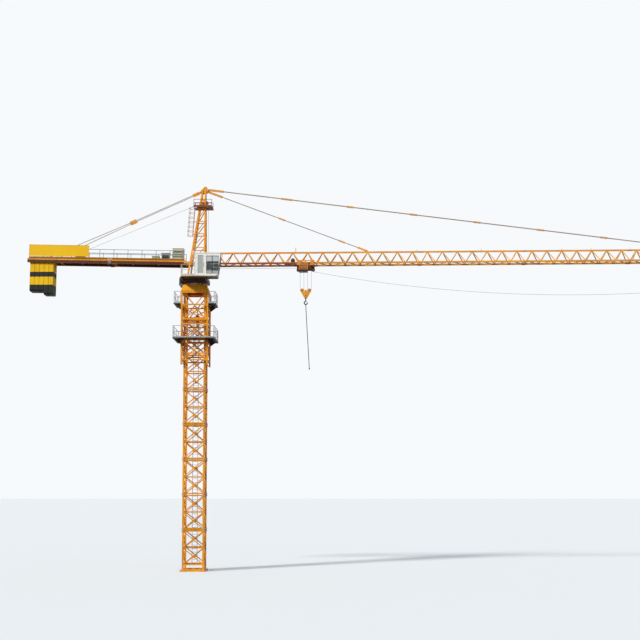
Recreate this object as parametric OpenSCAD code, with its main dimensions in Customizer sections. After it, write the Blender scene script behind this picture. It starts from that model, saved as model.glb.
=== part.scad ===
// Tower crane on a lattice mast, at half its real size.
// The jib lies along +X, the counter-jib along -X, and the ground is z = 0.

/* [Base] */
// Height of the first mast joint above the ground
foot_h = 250; // [200:10:300]
// Height of the base beams
beam_h = 100; // [80:5:140]
// Width of the base beams
beam_w = 70; // [50:5:90]
// Side of a square foot plate
plate_w = 240; // [220:10:300]
// Thickness of a foot plate
plate_t = 24; // [16:2:40]
// Diameter of an anchor bolt hole
anchor_d = 26; // [18:1:30]
// Distance between the anchor bolts of one foot
anchor_gap = 170; // [150:5:190]

/* [Mast] */
// Outer width of the square mast
mast_w = 940; // [860:10:1000]
// Width of a corner post
post_w = 76; // [60:2:90]
// Height of one mast section
section_h = 1500; // [1300:50:1700]
// Number of mast sections
sections = 7; // [5:1:8]
// Width of the horizontal bars at each section joint
rail_w = 54; // [40:2:64]
// Width of the diagonal bars
brace_w = 40; // [30:2:48]
// Height of the sleeve at a post joint
sleeve_h = 150; // [100:10:200]
// Distance that a sleeve stands proud of its post
sleeve_t = 8; // [4:1:10]

/* [Ladder] */
// Width of the mast ladder
ladder_w = 220; // [180:10:260]
// Distance between rungs
rung_gap = 150; // [120:5:170]
// Width of a ladder stile
stile_w = 22; // [16:1:30]
// Distance from the back panel to the ladder
ladder_off = 70; // [50:5:110]
// Sideways place of the ladder
ladder_x = -20; // [-150:10:150]

/* [Climbing cage] */
// Outer width of the climbing cage
cage_w = 1170; // [1120:10:1300]
// Height of the cage
cage_h = 2980; // [2600:20:3200]
// Width of a cage post
cage_post_w = 68; // [56:2:70]
// Length of the guides below the cage
guide_h = 170; // [100:10:240]
// Height of the lower platform above the cage bottom
lower_floor = 925; // [700:25:1100]
// Distance of the upper platform below the cage top
upper_drop = 530; // [460:10:620]
// Width of the cage platforms
floor_w = 320; // [280:10:400]
// Thickness of the cage platforms
floor_t = 28; // [20:2:40]
// Height of a handrail
rail_h = 500; // [440:10:560]
// Diameter of a handrail tube
rail_d = 22; // [16:1:26]

/* [Slewing] */
// Height of the legs of the slewing support
support_h = 1190; // [1100:10:1300]
// Height of the tapered head of the slewing support
taper_h = 300; // [240:10:360]
// Width of the slewing support at its top
support_w = 1000; // [940:10:1100]
// Diameter of the slewing ring
ring_d = 980; // [900:10:1060]
// Diameter of the passage through the slewing ring
hatch_d = 640; // [560:10:700]
// Height of each half of the slewing ring
ring_h = 77; // [60:1:90]
// Running gap between the halves of the slewing ring
ring_gap = 0.4; // [0.3:0.1:1]
// Thickness of the turntable deck
deck_t = 180; // [140:10:220]
// Width of the turntable deck
deck_w = 1200; // [1160:10:1300]
// Reach of the deck behind the mast axis
deck_back = 560; // [540:10:620]
// Reach of the deck in front of the mast axis
deck_front = 540; // [520:10:600]
// Diameter of a slewing motor
motor_d = 150; // [120:5:170]
// Gap between the slewing motors and the slewing support they pass over
motor_gap = 10; // [8:1:60]

/* [Tower head] */
// Height of the tower head above the deck
head_h = 3900; // [3600:20:4200]
// Place of the front legs along the jib
head_front = 385; // [360:5:420]
// Place of the feet of the rear legs
head_rear = -326; // [-380:2:-280]
// Place of the tops of the rear legs
head_top_rear = 262; // [240:2:280]
// Width of the tower head at the deck, between leg centres
head_base_w = 860; // [820:10:900]
// Width of the tower head at its top, between leg centres
head_top_w = 130; // [120:2:150]
// Width of a tower head leg
head_leg_w = 66; // [56:2:76]
// Height of the head platform above the deck
head_floor = 3110; // [2900:10:3200]
// Place of the rear edge of the head platform
platform_rear = -126; // [-160:2:-100]
// Place of the front edge of the head platform
platform_front = 710; // [680:10:780]
// Width of the head platform
platform_w = 660; // [620:10:720]

/* [Jib] */
// Height of the jib root pin above the deck
root_h = 620; // [600:2:720]
// Distance of the jib root pin from the mast axis
root_x = 470; // [465:5:500]
// Upward slope of the jib, in degrees
jib_rise = 0.45; // [0:0.05:1]
// Distance from the root pin to the first jib section
root_lug = 150; // [140:5:180]
// Distance between the bottom chord centres
gauge = 580; // [540:10:620]
// Height of the top chord over the bottom chords, between centres
jib_h = 508; // [480:4:540]
// Width of a bottom chord
chord_w = 70; // [64:2:76]
// Width of the top chord
top_chord_w = 64; // [56:2:72]
// Distance between lattice nodes
pitch = 650; // [600:10:680]
// Number of lattice bays in one jib section
bays = 7; // [6:1:8]
// Width of the jib lattice bars
web_w = 32; // [26:2:36]
// Distance from the mast axis to the inner tie anchor
inner_tie_x = 7390; // [7000:10:8000]
// Distance from the mast axis to the outer tie anchor
outer_tie_x = 21500; // [20000:50:22500]
// Distance from the head to the first links of a jib tie
tie_first = 3480; // [3200:20:3700]
// Length of one tie bar between its links
tie_step = 2780; // [2400:20:3000]
// Width of a tie bar
tie_w = 26; // [20:2:40]
// Width of the links at the head end of the ties
link_w = 84; // [70:2:90]
// Length of the links at the head end of the jib ties
link_l = 700; // [500:20:800]

/* [Counter-jib] */
// Length of the counter-jib from the mast axis
cj_l = 7250; // [7100:10:7500]
// Upward slope of the counter-jib, in degrees
cj_rise = 0.95; // [0:0.05:1.5]
// Height of the girder's underside over the deck, at the mast
cj_h = 555; // [520:5:600]
// Depth of a girder
girder_h = 185; // [160:5:210]
// Width of a girder
girder_w = 60; // [50:2:70]
// Distance between girder centres
cj_gauge = 680; // [620:10:720]
// Width of the walkway
walk_w = 760; // [720:10:800]
// Distance of the girder splice from the mast axis
splice_s = 3700; // [3400:50:4000]
// Gap between the walkway and the counterweights
walk_gap = 200; // [100:10:300]
// Height of the walkway's handrails
cj_rail_h = 400; // [360:10:460]
// Distance of the front edge of the side panel from the mast axis
panel_front = 4598; // [4400:2:4700]
// Distance of the rear edge of the side panel from the mast axis
panel_rear = 7180; // [7000:10:7220]
// Height of the side panel
panel_h = 490; // [440:10:540]
// Distance of the hoist winch from the mast axis
winch_s = 5050; // [4900:10:5300]
// Radius of the hoist winch drum
winch_r = 130; // [100:5:150]
// Height of the winch axle above the walkway
winch_axle = 170; // [165:5:200]
// Number of counterweight slabs
slabs = 5; // [4:1:6]
// Thickness of a counterweight slab
slab_t = 190; // [170:2:196]
// Distance between counterweight slabs
slab_gap = 14; // [10:1:20]
// Width of a counterweight slab
slab_w = 600; // [560:10:640]
// Height of a long counterweight slab below the girders
slab_h = 1380; // [1200:20:1500]
// How much shorter the rear slabs are
slab_step = 140; // [0:10:200]
// Distance of the switch cabinet from the mast axis
cabinet_s = 535; // [530:5:600]
// Length of the switch cabinet
cabinet_l = 476; // [440:2:500]
// Height of the switch cabinet
cabinet_h = 510; // [460:10:560]
// Depth of the cabinets
cabinet_w = 300; // [260:10:320]
// Distance of the resistor box from the mast axis
resistor_s = 1141; // [1110:1:1180]
// Length of the resistor box
resistor_l = 346; // [300:2:380]
// Height of the resistor box
resistor_h = 300; // [240:10:340]
// Distance of the tool box from the mast axis
tool_box_s = 1595; // [1580:5:1660]
// Length of the tool box
tool_box_l = 305; // [260:5:340]
// Height of the tool box
tool_box_h = 165; // [140:5:200]

/* [Cab] */
// Length of the cab floor
cab_l = 950; // [900:10:1000]
// Width of the cab
cab_w = 620; // [600:10:660]
// Height of the cab
cab_h = 950; // [920:10:1000]
// Forward lean of the windscreen
cab_lean = 125; // [80:5:140]
// Thickness of the cab wall
cab_wall = 24; // [18:1:30]
// Place of the rear of the cab along the jib
cab_x = 80; // [40:1:140]
// Height of the cab platform over the turntable's underside
cab_lift = 124; // [90:2:150]
// Reach of the cab platform behind the mast axis
cab_floor_back = 535; // [480:5:600]
// Height of the handrail on the cab platform
cab_rail_h = 450; // [400:10:500]
// Gap between the deck and the cab
cab_gap = 20; // [10:5:40]
// Thickness of the cab platform
cab_floor_t = 60; // [50:5:80]
// Thickness of the cab glass
glass_t = 6; // [4:1:8]

/* [Trolley] */
// Distance of the trolley from the mast axis
trolley_x = 4755; // [4000:5:6000]
// Distance between neighbouring rope falls
fall_gap = 160; // [150:2:170]
// Depth of the rope groove of a sheave
groove_t = 8; // [7:0.5:10]
// Width of a rope sheave
sheave_w = 26; // [22:1:30]
// Diameter of the hoist rope
rope_d = 10; // [8:0.5:11]
// Radius of a trolley wheel
wheel_r = 42; // [36:1:46]
// Width of a trolley wheel
wheel_w = 26; // [20:1:28]
// Distance between the trolley axles
wheelbase = 500; // [460:10:520]
// Length of the trolley frame
trolley_l = 770; // [750:10:800]
// Distance of the basket floor below the bottom chords
basket_drop = 440; // [400:10:480]
// Length of the basket
basket_l = 380; // [340:10:420]
// Width of the basket
basket_w = 260; // [220:10:300]
// Diameter of the trolley rope
travel_rope_d = 8; // [6:0.5:9]
// Sag of the rope that hangs from the trolley to the jib tip
slack_sag = 1060; // [900:10:1200]

/* [Hook block] */
// Distance of the block sheave axles below the trolley sheave axles
block_hang = 895; // [700:5:1200]
// Thickness of a cheek plate
cheek_t = 12; // [8:1:16]
// Height of the block below the sheave axles
block_drop = 325; // [300:5:360]
// Diameter of the hook shank
shank_d = 40; // [34:1:46]
// Inner radius of the hook's bend
hook_r = 44; // [38:1:50]
// Thickness of the hook's bend
hook_t = 46; // [40:1:52]
// Diameter of the round sling
sling_d = 30; // [20:1:36]
// Length of the ferrule on the end of the sling
ferrule_l = 60; // [40:2:90]

/* [Hidden] */

steel = "gold";
grey = "dimgray";
dark = "#2b2b2b";
pale = "whitesmoke";

// Fit between pieces that touch without being joined
fit = 0.3;
// Clearance between pieces that move past each other
run = 6;
// Sides of a small round bar
bar_fn = 6;

post_c = (mast_w - post_w) / 2;
mast_top = foot_h + sections * section_h;
cage_top = mast_top + support_h;
cage_z = cage_top - cage_h;
upper_floor = cage_h - upper_drop;
cage_c = (cage_w - cage_post_w) / 2;
ring_z = cage_top + taper_h;
deck_z = ring_z + 2 * ring_h + ring_gap;
deck_top = deck_z + deck_t;
root_z = deck_top + root_h;
section_l = bays * pitch;
jib_sections = 6;
jib_end = root_lug + jib_sections * section_l;
cj_z = deck_top + cj_h;
cj_root = -head_rear + head_leg_w;
rope_h = -168;
sheave_h = rope_h - fall_gap / 2;
trolley_s = (trolley_x - root_x + sheave_h * sin(jib_rise)) / cos(jib_rise);
rope_r = fall_gap / 2;
sheave_r = rope_r - rope_d / 2 - fit + groove_t;
trolley_z = jib_z(trolley_s, sheave_h);
block_z = trolley_z - block_hang;
end_sheave = fall_gap * 1.5 + rope_r;

rope_x = 510;
head_sheave_z = deck_top + head_floor + 240;
root_sheave_z = root_z + (rope_x + rope_r - root_x) * tan(jib_rise) + rope_h + rope_r;
pin_d = 30;
lug_pin = 70;
travel_y = 60;
travel_h = -chord_w / 2 - 14;
rope_anchor_l = 56;
axle_d = 15.4;
hoop_r = 150;
hoop_back = 90;
upper_ladder_y = -165;
ladder_notch = 132;
notch_x = platform_rear + 136;
lower_ladder_y = -60;
slack_s = trolley_s + end_sheave + 12;
slack_end_h = -392;
cj_pin = cj_root + 60;
stack_rear = cj_l - 110;
stack_front = stack_rear - slabs * (slab_t + slab_gap) + slab_gap;
cj_tie_x = stack_rear - slab_t / 2 - (slabs - 1.5) * (slab_t + slab_gap);
cj_rail_end = cj_l - 70;
walk_t = 16;
walk_h = girder_h + walk_t + 2 * fit;
counter_tie_pin = [head_top_rear - 80, 0, deck_top + head_h - 75];
tie_pins = [[head_front + 90, 0, deck_top + head_h + 40], [head_front + 75, 0, deck_top + head_h - 40]];

function lerp(a, b, t) = a + (b - a) * t;
function jib_x(s, h) = root_x + s * cos(jib_rise) - h * sin(jib_rise);
function jib_z(s, h) = root_z + s * sin(jib_rise) + h * cos(jib_rise);
function head_z(t) = deck_top + t * head_h;
function head_y(t) = lerp(head_base_w, head_top_w, t) / 2;
function cj_point(s, h) = [-s * cos(cj_rise) + h * sin(cj_rise), 0,
    cj_z + s * sin(cj_rise) + h * cos(cj_rise)];
function head_back(t) = lerp(head_rear, head_top_rear, t);

// Bar between two points, of width w and thickness t; a bar in the XZ plane has its thickness along Y
module bar(a, b, w, t = 0) {
    v = b - a;
    thick = t > 0 ? t : w;
    translate(a)
        rotate([0, acos(v.z / norm(v)), atan2(v.y, v.x)])
            translate([-w / 2, -thick / 2, 0]) cube([w, thick, norm(v)]);
}

// Square leg between two levels, its faces turned to the axes
module leg(a, b, w) {
    v = b - a;
    multmatrix([[1, 0, v.x / v.z, a.x], [0, 1, v.y / v.z, a.y], [0, 0, 1, a.z]])
        translate([-w / 2, -w / 2, 0]) cube([w, w, v.z]);
}

// Round bar between two points, drawn with few sides
module rod(a, b, d, sides = bar_fn) {
    v = b - a;
    translate(a)
        rotate([0, acos(v.z / norm(v)), atan2(v.y, v.x)])
            cylinder(d = d, h = norm(v), $fn = sides);
}

// Box between two corners
module box(a, b) {
    translate(a) cube(b - a);
}

// Crossed diagonals in the XZ plane, between two heights
module cross_brace(x, z0, z1, w) {
    bar([-x, 0, z0], [x, 0, z1], w);
    bar([x, 0, z0], [-x, 0, z1], w);
}

// Place on the jib: distance from the root pin, and height over the bottom chords
module on_jib(s = 0, h = 0) {
    translate([root_x, 0, root_z]) rotate([0, -jib_rise, 0]) translate([s, 0, h]) children();
}

// Place on the counter-jib: distance behind the mast axis, and height over the girder's underside
module on_counter_jib(s = 0, h = 0) {
    translate([0, 0, cj_z]) rotate([0, cj_rise, 0]) translate([-s, 0, h]) children();
}

// Grooved rope wheel with its axis along Y
module sheave(r = sheave_r, w = sheave_w, hub = 20) {
    rotate([90, 0, 0]) rotate_extrude($fn = 48)
        polygon([[8, -w / 2], [hub, -w / 2], [hub + 6, -w / 5], [r - 18, -w / 5], [r - 12, -w / 2],
            [r, -w / 2], [r, -w / 2 + 3], [r - groove_t, -rope_d / 2 - 1], [r - groove_t, rope_d / 2 + 1],
            [r, w / 2 - 3], [r, w / 2], [r - 12, w / 2], [r - 18, w / 5], [hub + 6, w / 5], [hub, w / 2],
            [8, w / 2]]);
}

// Flat handrail in the XZ plane: end posts, two rails and a toe board
module railing(l, h = rail_h) {
    posts = max(1, round(l / 620));
    for (i = [0 : posts]) {
        x = lerp(rail_d / 2, l - rail_d / 2, i / posts);
        rod([x, 0, 0], [x, 0, h], rail_d);
    }
    for (z = [h / 2, h]) rod([0, 0, z], [l, 0, z], rail_d);
    box([0, -3, 0], [l, 3, 50]);
}

// Ladder along +Z, with its rungs along X
module ladder(w, h) {
    for (x = [-1, 1]) box([x * w / 2 - stile_w / 2, -stile_w / 2, 0],
        [x * w / 2 + stile_w / 2, stile_w / 2, h]);
    for (z = [rung_gap / 2 : rung_gap : h - rung_gap / 4])
        rod([-w / 2, 0, z], [w / 2, 0, z], 14);
}

module base_frame() color(steel) {
    difference() {
        union() {
            for (x = [-1, 1], y = [-1, 1]) translate([x * post_c, y * post_c, 0]) {
                box([-plate_w / 2, -plate_w / 2, 0], [plate_w / 2, plate_w / 2, plate_t]);
                box([-post_w / 2, -post_w / 2, 0], [post_w / 2, post_w / 2, foot_h]);
            }
            for (c = [-post_c, 0, post_c]) {
                box([-post_c, c - beam_w / 2, 0], [post_c, c + beam_w / 2, beam_h]);
                box([c - beam_w / 2, -post_c, 0], [c + beam_w / 2, post_c, beam_h]);
            }
        }
        for (x = [-1, 1], y = [-1, 1], u = [-1, 1], v = [-1, 1])
            translate([x * post_c + u * anchor_gap / 2, y * post_c + v * anchor_gap / 2, -1])
                cylinder(d = anchor_d, h = plate_t + 2, $fn = 24);
    }
}

// Horizontals and crossed diagonals of every mast section, on the line of the posts
module mast_bracing() {
    inset = rail_w * 0.8;
    for (i = [0 : sections - 1]) translate([0, 0, foot_h + i * section_h]) {
        for (z = [inset, section_h - inset]) bar([-post_c, 0, z], [post_c, 0, z], rail_w);
        bar([-post_c, 0, section_h / 2], [post_c, 0, section_h / 2], brace_w + 6);
        cross_brace(post_c, inset, section_h / 2, brace_w);
        cross_brace(post_c, section_h / 2, section_h - inset, brace_w);
    }
}

// Lattice side with its two corner posts and the sleeves of the post joints
module post_panel() {
    mast_bracing();
    for (x = [-1, 1]) {
        translate([x * post_c, 0, foot_h])
            box([-post_w / 2, -post_w / 2, 0], [post_w / 2, post_w / 2, sections * section_h]);
        for (i = [1 : sections - 1]) translate([x * post_c, 0, foot_h + i * section_h])
            box([-post_w / 2 - sleeve_t, -post_w / 2 - sleeve_t, -sleeve_h / 2],
                [post_w / 2 + sleeve_t, post_w / 2 + sleeve_t, sleeve_h / 2]);
    }
}

// Lattice side that fills the space between two corner posts
module web_panel() {
    reach = post_c - post_w / 2;
    difference() {
        intersection() {
            mast_bracing();
            box([-reach, -rail_w, 0], [reach, rail_w, mast_top]);
        }
        for (x = [-1, 1], i = [1 : sections - 1])
            translate([x * post_c, 0, foot_h + i * section_h])
                box([-post_w / 2 - sleeve_t, -post_w / 2 - sleeve_t, -sleeve_h / 2],
                    [post_w / 2 + sleeve_t, post_w / 2 + sleeve_t, sleeve_h / 2]);
    }
}

module mast_front() color(steel) translate([0, -post_c, 0]) post_panel();
module mast_back() color(steel) translate([0, post_c, 0]) post_panel();
module mast_left() color(steel) translate([-post_c, 0, 0]) rotate([0, 0, 90]) web_panel();
module mast_right() color(steel) translate([post_c, 0, 0]) rotate([0, 0, 90]) web_panel();

// Ladder inside the mast, held off the back panel by brackets at each section joint
module mast_ladder() color(grey) {
    face = post_c - rail_w / 2;
    translate([ladder_x, face - ladder_off, foot_h]) {
        ladder(ladder_w, sections * section_h);
        for (i = [0 : sections - 1], x = [-1, 1])
            translate([x * ladder_w / 2, 0, i * section_h + rail_w * 0.8])
                box([-stile_w / 2, 0, -stile_w / 2], [stile_w / 2, ladder_off, stile_w / 2]);
    }
}

// Levels of the horizontal bars of the cage, from its bottom
function cage_levels() = [cage_post_w / 2, lower_floor - cage_post_w / 2, cage_h * 0.53, cage_h * 0.6,
    upper_floor - cage_post_w / 2, cage_h - cage_post_w / 2];

module cage_bracing(x) {
    levels = cage_levels();
    for (z = levels) bar([-x, 0, z], [x, 0, z], cage_post_w * 0.8);
    for (k = [0, 1, 3]) cross_brace(x, levels[k], levels[k + 1], brace_w);
}

module cage_frames() color(steel) for (y = [-1, 1]) translate([0, y * cage_c, cage_z]) {
    cage_bracing(cage_c);
    for (x = [-1, 1]) box([x * cage_c - cage_post_w / 2, -cage_post_w / 2, -guide_h],
        [x * cage_c + cage_post_w / 2, cage_post_w / 2, cage_h]);
}

module cage_sides() color(steel) for (x = [-1, 1]) translate([x * cage_c, 0, cage_z]) rotate([0, 0, 90])
    intersection() {
        reach = cage_c - cage_post_w / 2;
        cage_bracing(cage_c);
        box([-reach, -cage_post_w, 0], [reach, cage_post_w, cage_h]);
    }

// Floor plate along X with triangular brackets under it, reaching out along -Y
module bracket_floor(l) {
    box([-l / 2, -floor_w, 0], [l / 2, 0, floor_t]);
    for (x = [-cage_c + 20, 0, cage_c - 20]) translate([x + 6, 0, 0]) rotate([90, 0, -90])
        linear_extrude(12) polygon([[0, 0.5], [floor_w * 0.8, 0.5], [0, -floor_w * 0.6]]);
}

module cage_platforms() color(grey) {
    half = cage_w / 2;
    translate([0, 0, cage_z + lower_floor]) {
        for (a = [0, 180]) rotate([0, 0, a]) translate([0, -half, 0]) bracket_floor(cage_w + 2 * floor_w);
        for (a = [90, 270]) rotate([0, 0, a]) translate([0, -half, 0]) bracket_floor(cage_w - run);
    }
    translate([0, 0, cage_z + upper_floor])
        for (a = [90, 270]) rotate([0, 0, a]) translate([0, -half, 0]) bracket_floor(cage_w);
}

module cage_rails() color("lightslategray") {
    edge = cage_w / 2 + floor_w - rail_d;
    long = 2 * edge - 2 * rail_d;
    translate([0, 0, cage_z + lower_floor + floor_t])
        for (a = [0 : 90 : 270]) rotate([0, 0, a]) translate([-long / 2, -edge, 0]) railing(long);
    side = cage_w - 2 * rail_d;
    short = floor_w - 3 * rail_d;
    translate([0, 0, cage_z + upper_floor + floor_t]) for (a = [90, 270]) rotate([0, 0, a]) {
        translate([-side / 2, -edge, 0]) railing(side);
        for (x = [-1, 1]) translate([x * (cage_w / 2 - rail_d / 2), -edge + 1.5 * rail_d, 0])
            rotate([0, 0, 90]) railing(short);
    }
}

// Hydraulic jack on the back of the cage, between two of its horizontal bars
module climbing_jack() color(dark) {
    levels = cage_levels();
    face = cage_c + cage_post_w * 0.4 + fit;
    y = face + 70;
    low = cage_z + levels[2];
    high = cage_z + levels[4];
    for (z = [low, high]) box([-90, face, z - 26], [90, y + 40, z + 26]);
    translate([0, y, low]) cylinder(d = 110, h = (high - low) * 0.6, $fn = 32);
    translate([0, y, low]) cylinder(d = 56, h = high - low, $fn = 32);
}

// Square frame of sloping plates that carries the slewing ring
module taper_shell() {
    difference() {
        hull() {
            translate([0, 0, cage_top + 25]) cube([cage_w, cage_w, 50], center = true);
            translate([0, 0, ring_z - 15]) cube([support_w, support_w, 30], center = true);
        }
        hull() {
            translate([0, 0, cage_top]) cube([cage_w - 80, cage_w - 80, 60], center = true);
            translate([0, 0, ring_z - 30]) cube([support_w - 80, support_w - 80, 1], center = true);
        }
        translate([0, 0, ring_z - 60]) cylinder(d = hatch_d, h = 120, $fn = 64);
    }
}

// Horizontal and crossed diagonals on one side of the slewing support
module support_bracing() {
    bar([-post_c, 0, rail_w], [post_c, 0, rail_w], rail_w);
    cross_brace(post_c, rail_w, support_h - rail_w, brace_w);
}

// Four legs on the mast's posts: two sides with the legs, and two sides of bracing between them
module slewing_support() color(steel) translate([0, 0, mast_top]) {
    reach = post_c - post_w / 2 - fit;
    for (y = [-1, 1]) translate([0, y * post_c, 0]) {
        support_bracing();
        for (x = [-1, 1]) box([x * post_c - post_w / 2, -post_w / 2, 0],
            [x * post_c + post_w / 2, post_w / 2, support_h]);
    }
    for (x = [-1, 1]) translate([x * post_c, 0, 0]) rotate([0, 0, 90]) intersection() {
        support_bracing();
        box([-reach, -rail_w, 0], [reach, rail_w, support_h]);
    }
}

// Square frame on the legs, tapered plates, and the lower half of the slewing ring
module support_head() color(steel) {
    inner = post_c - post_w / 2;
    taper_shell();
    difference() {
        box([-cage_w / 2, -cage_w / 2, cage_top], [cage_w / 2, cage_w / 2, cage_top + 30]);
        box([-inner, -inner, cage_top - 1], [inner, inner, cage_top + 31]);
    }
    translate([0, 0, ring_z + fit]) difference() {
        cylinder(d = ring_d, h = ring_h - fit, $fn = 96);
        translate([0, 0, -1]) cylinder(d = hatch_d, h = ring_h + 2, $fn = 64);
    }
}

module slewing_deck() color(steel) difference() {
    union() {
        box([-deck_back, -deck_w / 2, deck_z], [deck_front, deck_w / 2, deck_top]);
        translate([0, 0, deck_z - ring_h]) cylinder(d = ring_d, h = ring_h + 1, $fn = 96);
    }
    translate([0, 0, deck_z - ring_h - 1]) cylinder(d = hatch_d, h = deck_t + ring_h + 2, $fn = 64);
}

// Motors that hang behind the deck, each with its gear housing under the deck
module slewing_motors() color(dark) for (y = [-1, 1]) translate([-deck_back, y * 220, 0]) {
    translate([-12, 0, ring_z + 8]) cylinder(d = motor_d * 0.8, h = deck_z - ring_z - 8 - fit, $fn = 32);
    translate([-motor_d / 2 - fit, 0, ring_z + motor_gap])
        cylinder(d = motor_d, h = deck_top - ring_z - motor_gap, $fn = 32);
    translate([-motor_d / 2 - fit, 0, deck_top - 1]) cylinder(d = motor_d * 0.7, h = 50, $fn = 32);
}

// Levels of the tower head's lattice, as shares of its height
floor_level = (head_floor - web_w / 2 - fit) / head_h;
head_levels = [0, 0.17, 0.34, 0.5, 0.64, floor_level, 0.9, 0.97];
sheave_bay = 5;

function head_corner(x, y, t) = [x > 0 ? head_front : head_back(t), y * head_y(t), head_z(t)];

module tower_head() color(steel) {
    last = len(head_levels) - 1;
    for (x = [-1, 1], y = [-1, 1]) {
        leg(head_corner(x, y, 0), head_corner(x, y, 1), head_leg_w);
        translate(head_corner(x, y, 0)) box([-60, -60, 0], [60, 60, 40]);
    }
    for (t = [for (k = [1 : last]) head_levels[k]]) {
        for (y = [-1, 1]) bar(head_corner(-1, y, t), head_corner(1, y, t), web_w);
        for (x = [-1, 1]) bar(head_corner(x, -1, t), head_corner(x, 1, t), web_w);
    }
    for (k = [1 : last - 2]) {
        a = head_levels[k];
        b = head_levels[k + 1];
        for (y = [-1, 1]) bar(head_corner(-1, y, a), head_corner(1, y, b), web_w);
        if (k != sheave_bay) {
            bar(head_corner(-1, -1, a), head_corner(-1, 1, b), web_w);
            bar(head_corner(1, 1, a), head_corner(1, -1, b), web_w);
        }
    }
    head_cap();
    head_sheave_plates();
    jib_lugs();
    counter_jib_lugs();
}

// Head plates and the pins that the ties hang from
module head_cap() {
    z = head_z(1);
    for (y = [-1, 1]) translate([0, y * head_top_w / 2, 0]) rotate([90, 0, 0])
        translate([0, 0, -10]) linear_extrude(20)
            polygon([[head_top_rear - 40, z - 140], [head_front + 60, z - 120],
                [head_front + 130, z + 10], [head_front + 40, z + 160], [head_front - 40, z + 160],
                [head_top_rear - 105, z - 40], [head_top_rear - 115, z - 110]]);
    for (p = tie_pins) translate(p) rotate([90, 0, 0])
        cylinder(d = pin_d, h = head_top_w, center = true, $fn = 32);
    translate(counter_tie_pin) rotate([90, 0, 0])
        cylinder(d = pin_d, h = head_top_w + 20 + 2 * tie_w, center = true, $fn = 32);
    box([head_top_rear - 20, -head_top_w / 2, z - 110], [head_front + 30, head_top_w / 2, z - 90]);
}

// Plates that hold the head sheave between a rear bar and the platform's front bar
module head_sheave_plates() {
    rear = 0.87;
    axle = [rope_x - rope_r, head_sheave_z];
    bar(head_corner(-1, -1, rear), head_corner(-1, 1, rear), web_w);
    for (y = [-1, 1]) translate([0, y * (sheave_w / 2 + 8) + 5, 0]) rotate([90, 0, 0]) linear_extrude(10)
        polygon([[head_back(rear) - 10, head_z(rear) - 14], [head_back(rear) - 10, head_z(rear) + 14],
            axle + [30, 30], axle + [30, -30], [head_front + 14, head_z(floor_level)],
            [head_front - 14, head_z(floor_level)]]);
    translate([axle.x, 0, axle.y]) rotate([90, 0, 0])
        cylinder(d = axle_d, h = sheave_w + 22, center = true, $fn = 32);
}

// Cross-beam with lugs that take the jib root pins, and the plates of the root sheave
module jib_lugs() {
    wide = head_y(root_h / head_h);
    bar([head_front, -wide, root_z], [head_front, wide, root_z], head_leg_w);
    for (y = [-1, 1]) {
        for (d = [-1, 1]) translate([0, y * gauge / 2 + d * (chord_w / 4 + 6 + fit), root_z])
            box([head_front, -6, -40], [root_x + 40, 6, 40]);
        translate([root_x, y * gauge / 2, root_z]) rotate([90, 0, 0])
            cylinder(d = pin_d, h = chord_w / 2 + 20, center = true, $fn = 32);
        translate([0, y * (sheave_w / 2 + 8), root_z])
            box([head_front, -5, -110], [rope_x + rope_r + 30, 5, -20]);
    }
    translate([rope_x + rope_r, 0, root_sheave_z]) rotate([90, 0, 0])
        cylinder(d = axle_d, h = sheave_w + 22, center = true, $fn = 32);
}

// Cross-beam with lugs on both sides of each counter-jib girder
module counter_jib_lugs() {
    p = cj_point(cj_pin, girder_h / 2);
    t = (p.z - deck_top) / head_h;
    bar([head_back(t), -head_y(t), p.z], [head_back(t), head_y(t), p.z], head_leg_w);
    for (y = [-1, 1]) {
        for (d = [-1, 1]) translate([0, y * cj_gauge / 2 + d * (girder_w / 2 + 6 + fit), p.z])
            box([p.x - 45, -6, -45], [head_back(t), 6, 45]);
        translate([p.x, y * cj_gauge / 2, p.z]) rotate([90, 0, 0])
            cylinder(d = pin_d, h = girder_w + 20, center = true, $fn = 32);
    }
}

module head_platform() color("brown") {
    z = deck_top + head_floor;
    half = platform_w / 2;
    difference() {
        box([platform_rear, -half, z], [platform_front, half, z + 34]);
        for (x = [-1, 1], y = [-1, 1]) leg(head_corner(x, y, 0.5), head_corner(x, y, 0.9), head_leg_w + 42);
        box([head_back(floor_level) + 30, -60, z - 1], [rope_x + 60, 60, z + 40]);
        box([platform_rear - 1, upper_ladder_y - ladder_notch, z - 1],
            [notch_x, upper_ladder_y + ladder_notch, z + 40]);
    }
    for (y = [-1, 1]) translate([platform_rear + rail_d, y * (half - rail_d / 2), z + 30])
        railing(platform_front - platform_rear - 2 * rail_d, 300);
}

// Two ladders to the head platform: the lower one inside the legs, the upper one behind them in hoops
module head_ladder() color(pale) {
    lower_head_ladder();
    upper_head_ladder();
}

module lower_head_ladder() {
    off = head_leg_w / 2 + 35;
    top = head_levels[3] + 0.02;
    b = [head_back(top) + off, lower_ladder_y, head_z(top)];
    lean = atan2(head_top_rear - head_rear, head_h);
    a = [head_rear + off, lower_ladder_y, deck_top + fit + stile_w / 2 * sin(lean)];
    translate(a) rotate([0, lean, 0]) rotate([0, 0, 90]) ladder(ladder_w, norm(b - a));
    for (k = [2, 3], y = [-1, 1]) {
        t = head_levels[k];
        bar([head_back(t) + off, a.y + y * ladder_w / 2, head_z(t)],
            [head_back(t) + web_w / 2 + fit, a.y + y * ladder_w / 2, head_z(t)], 14);
    }
}

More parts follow.
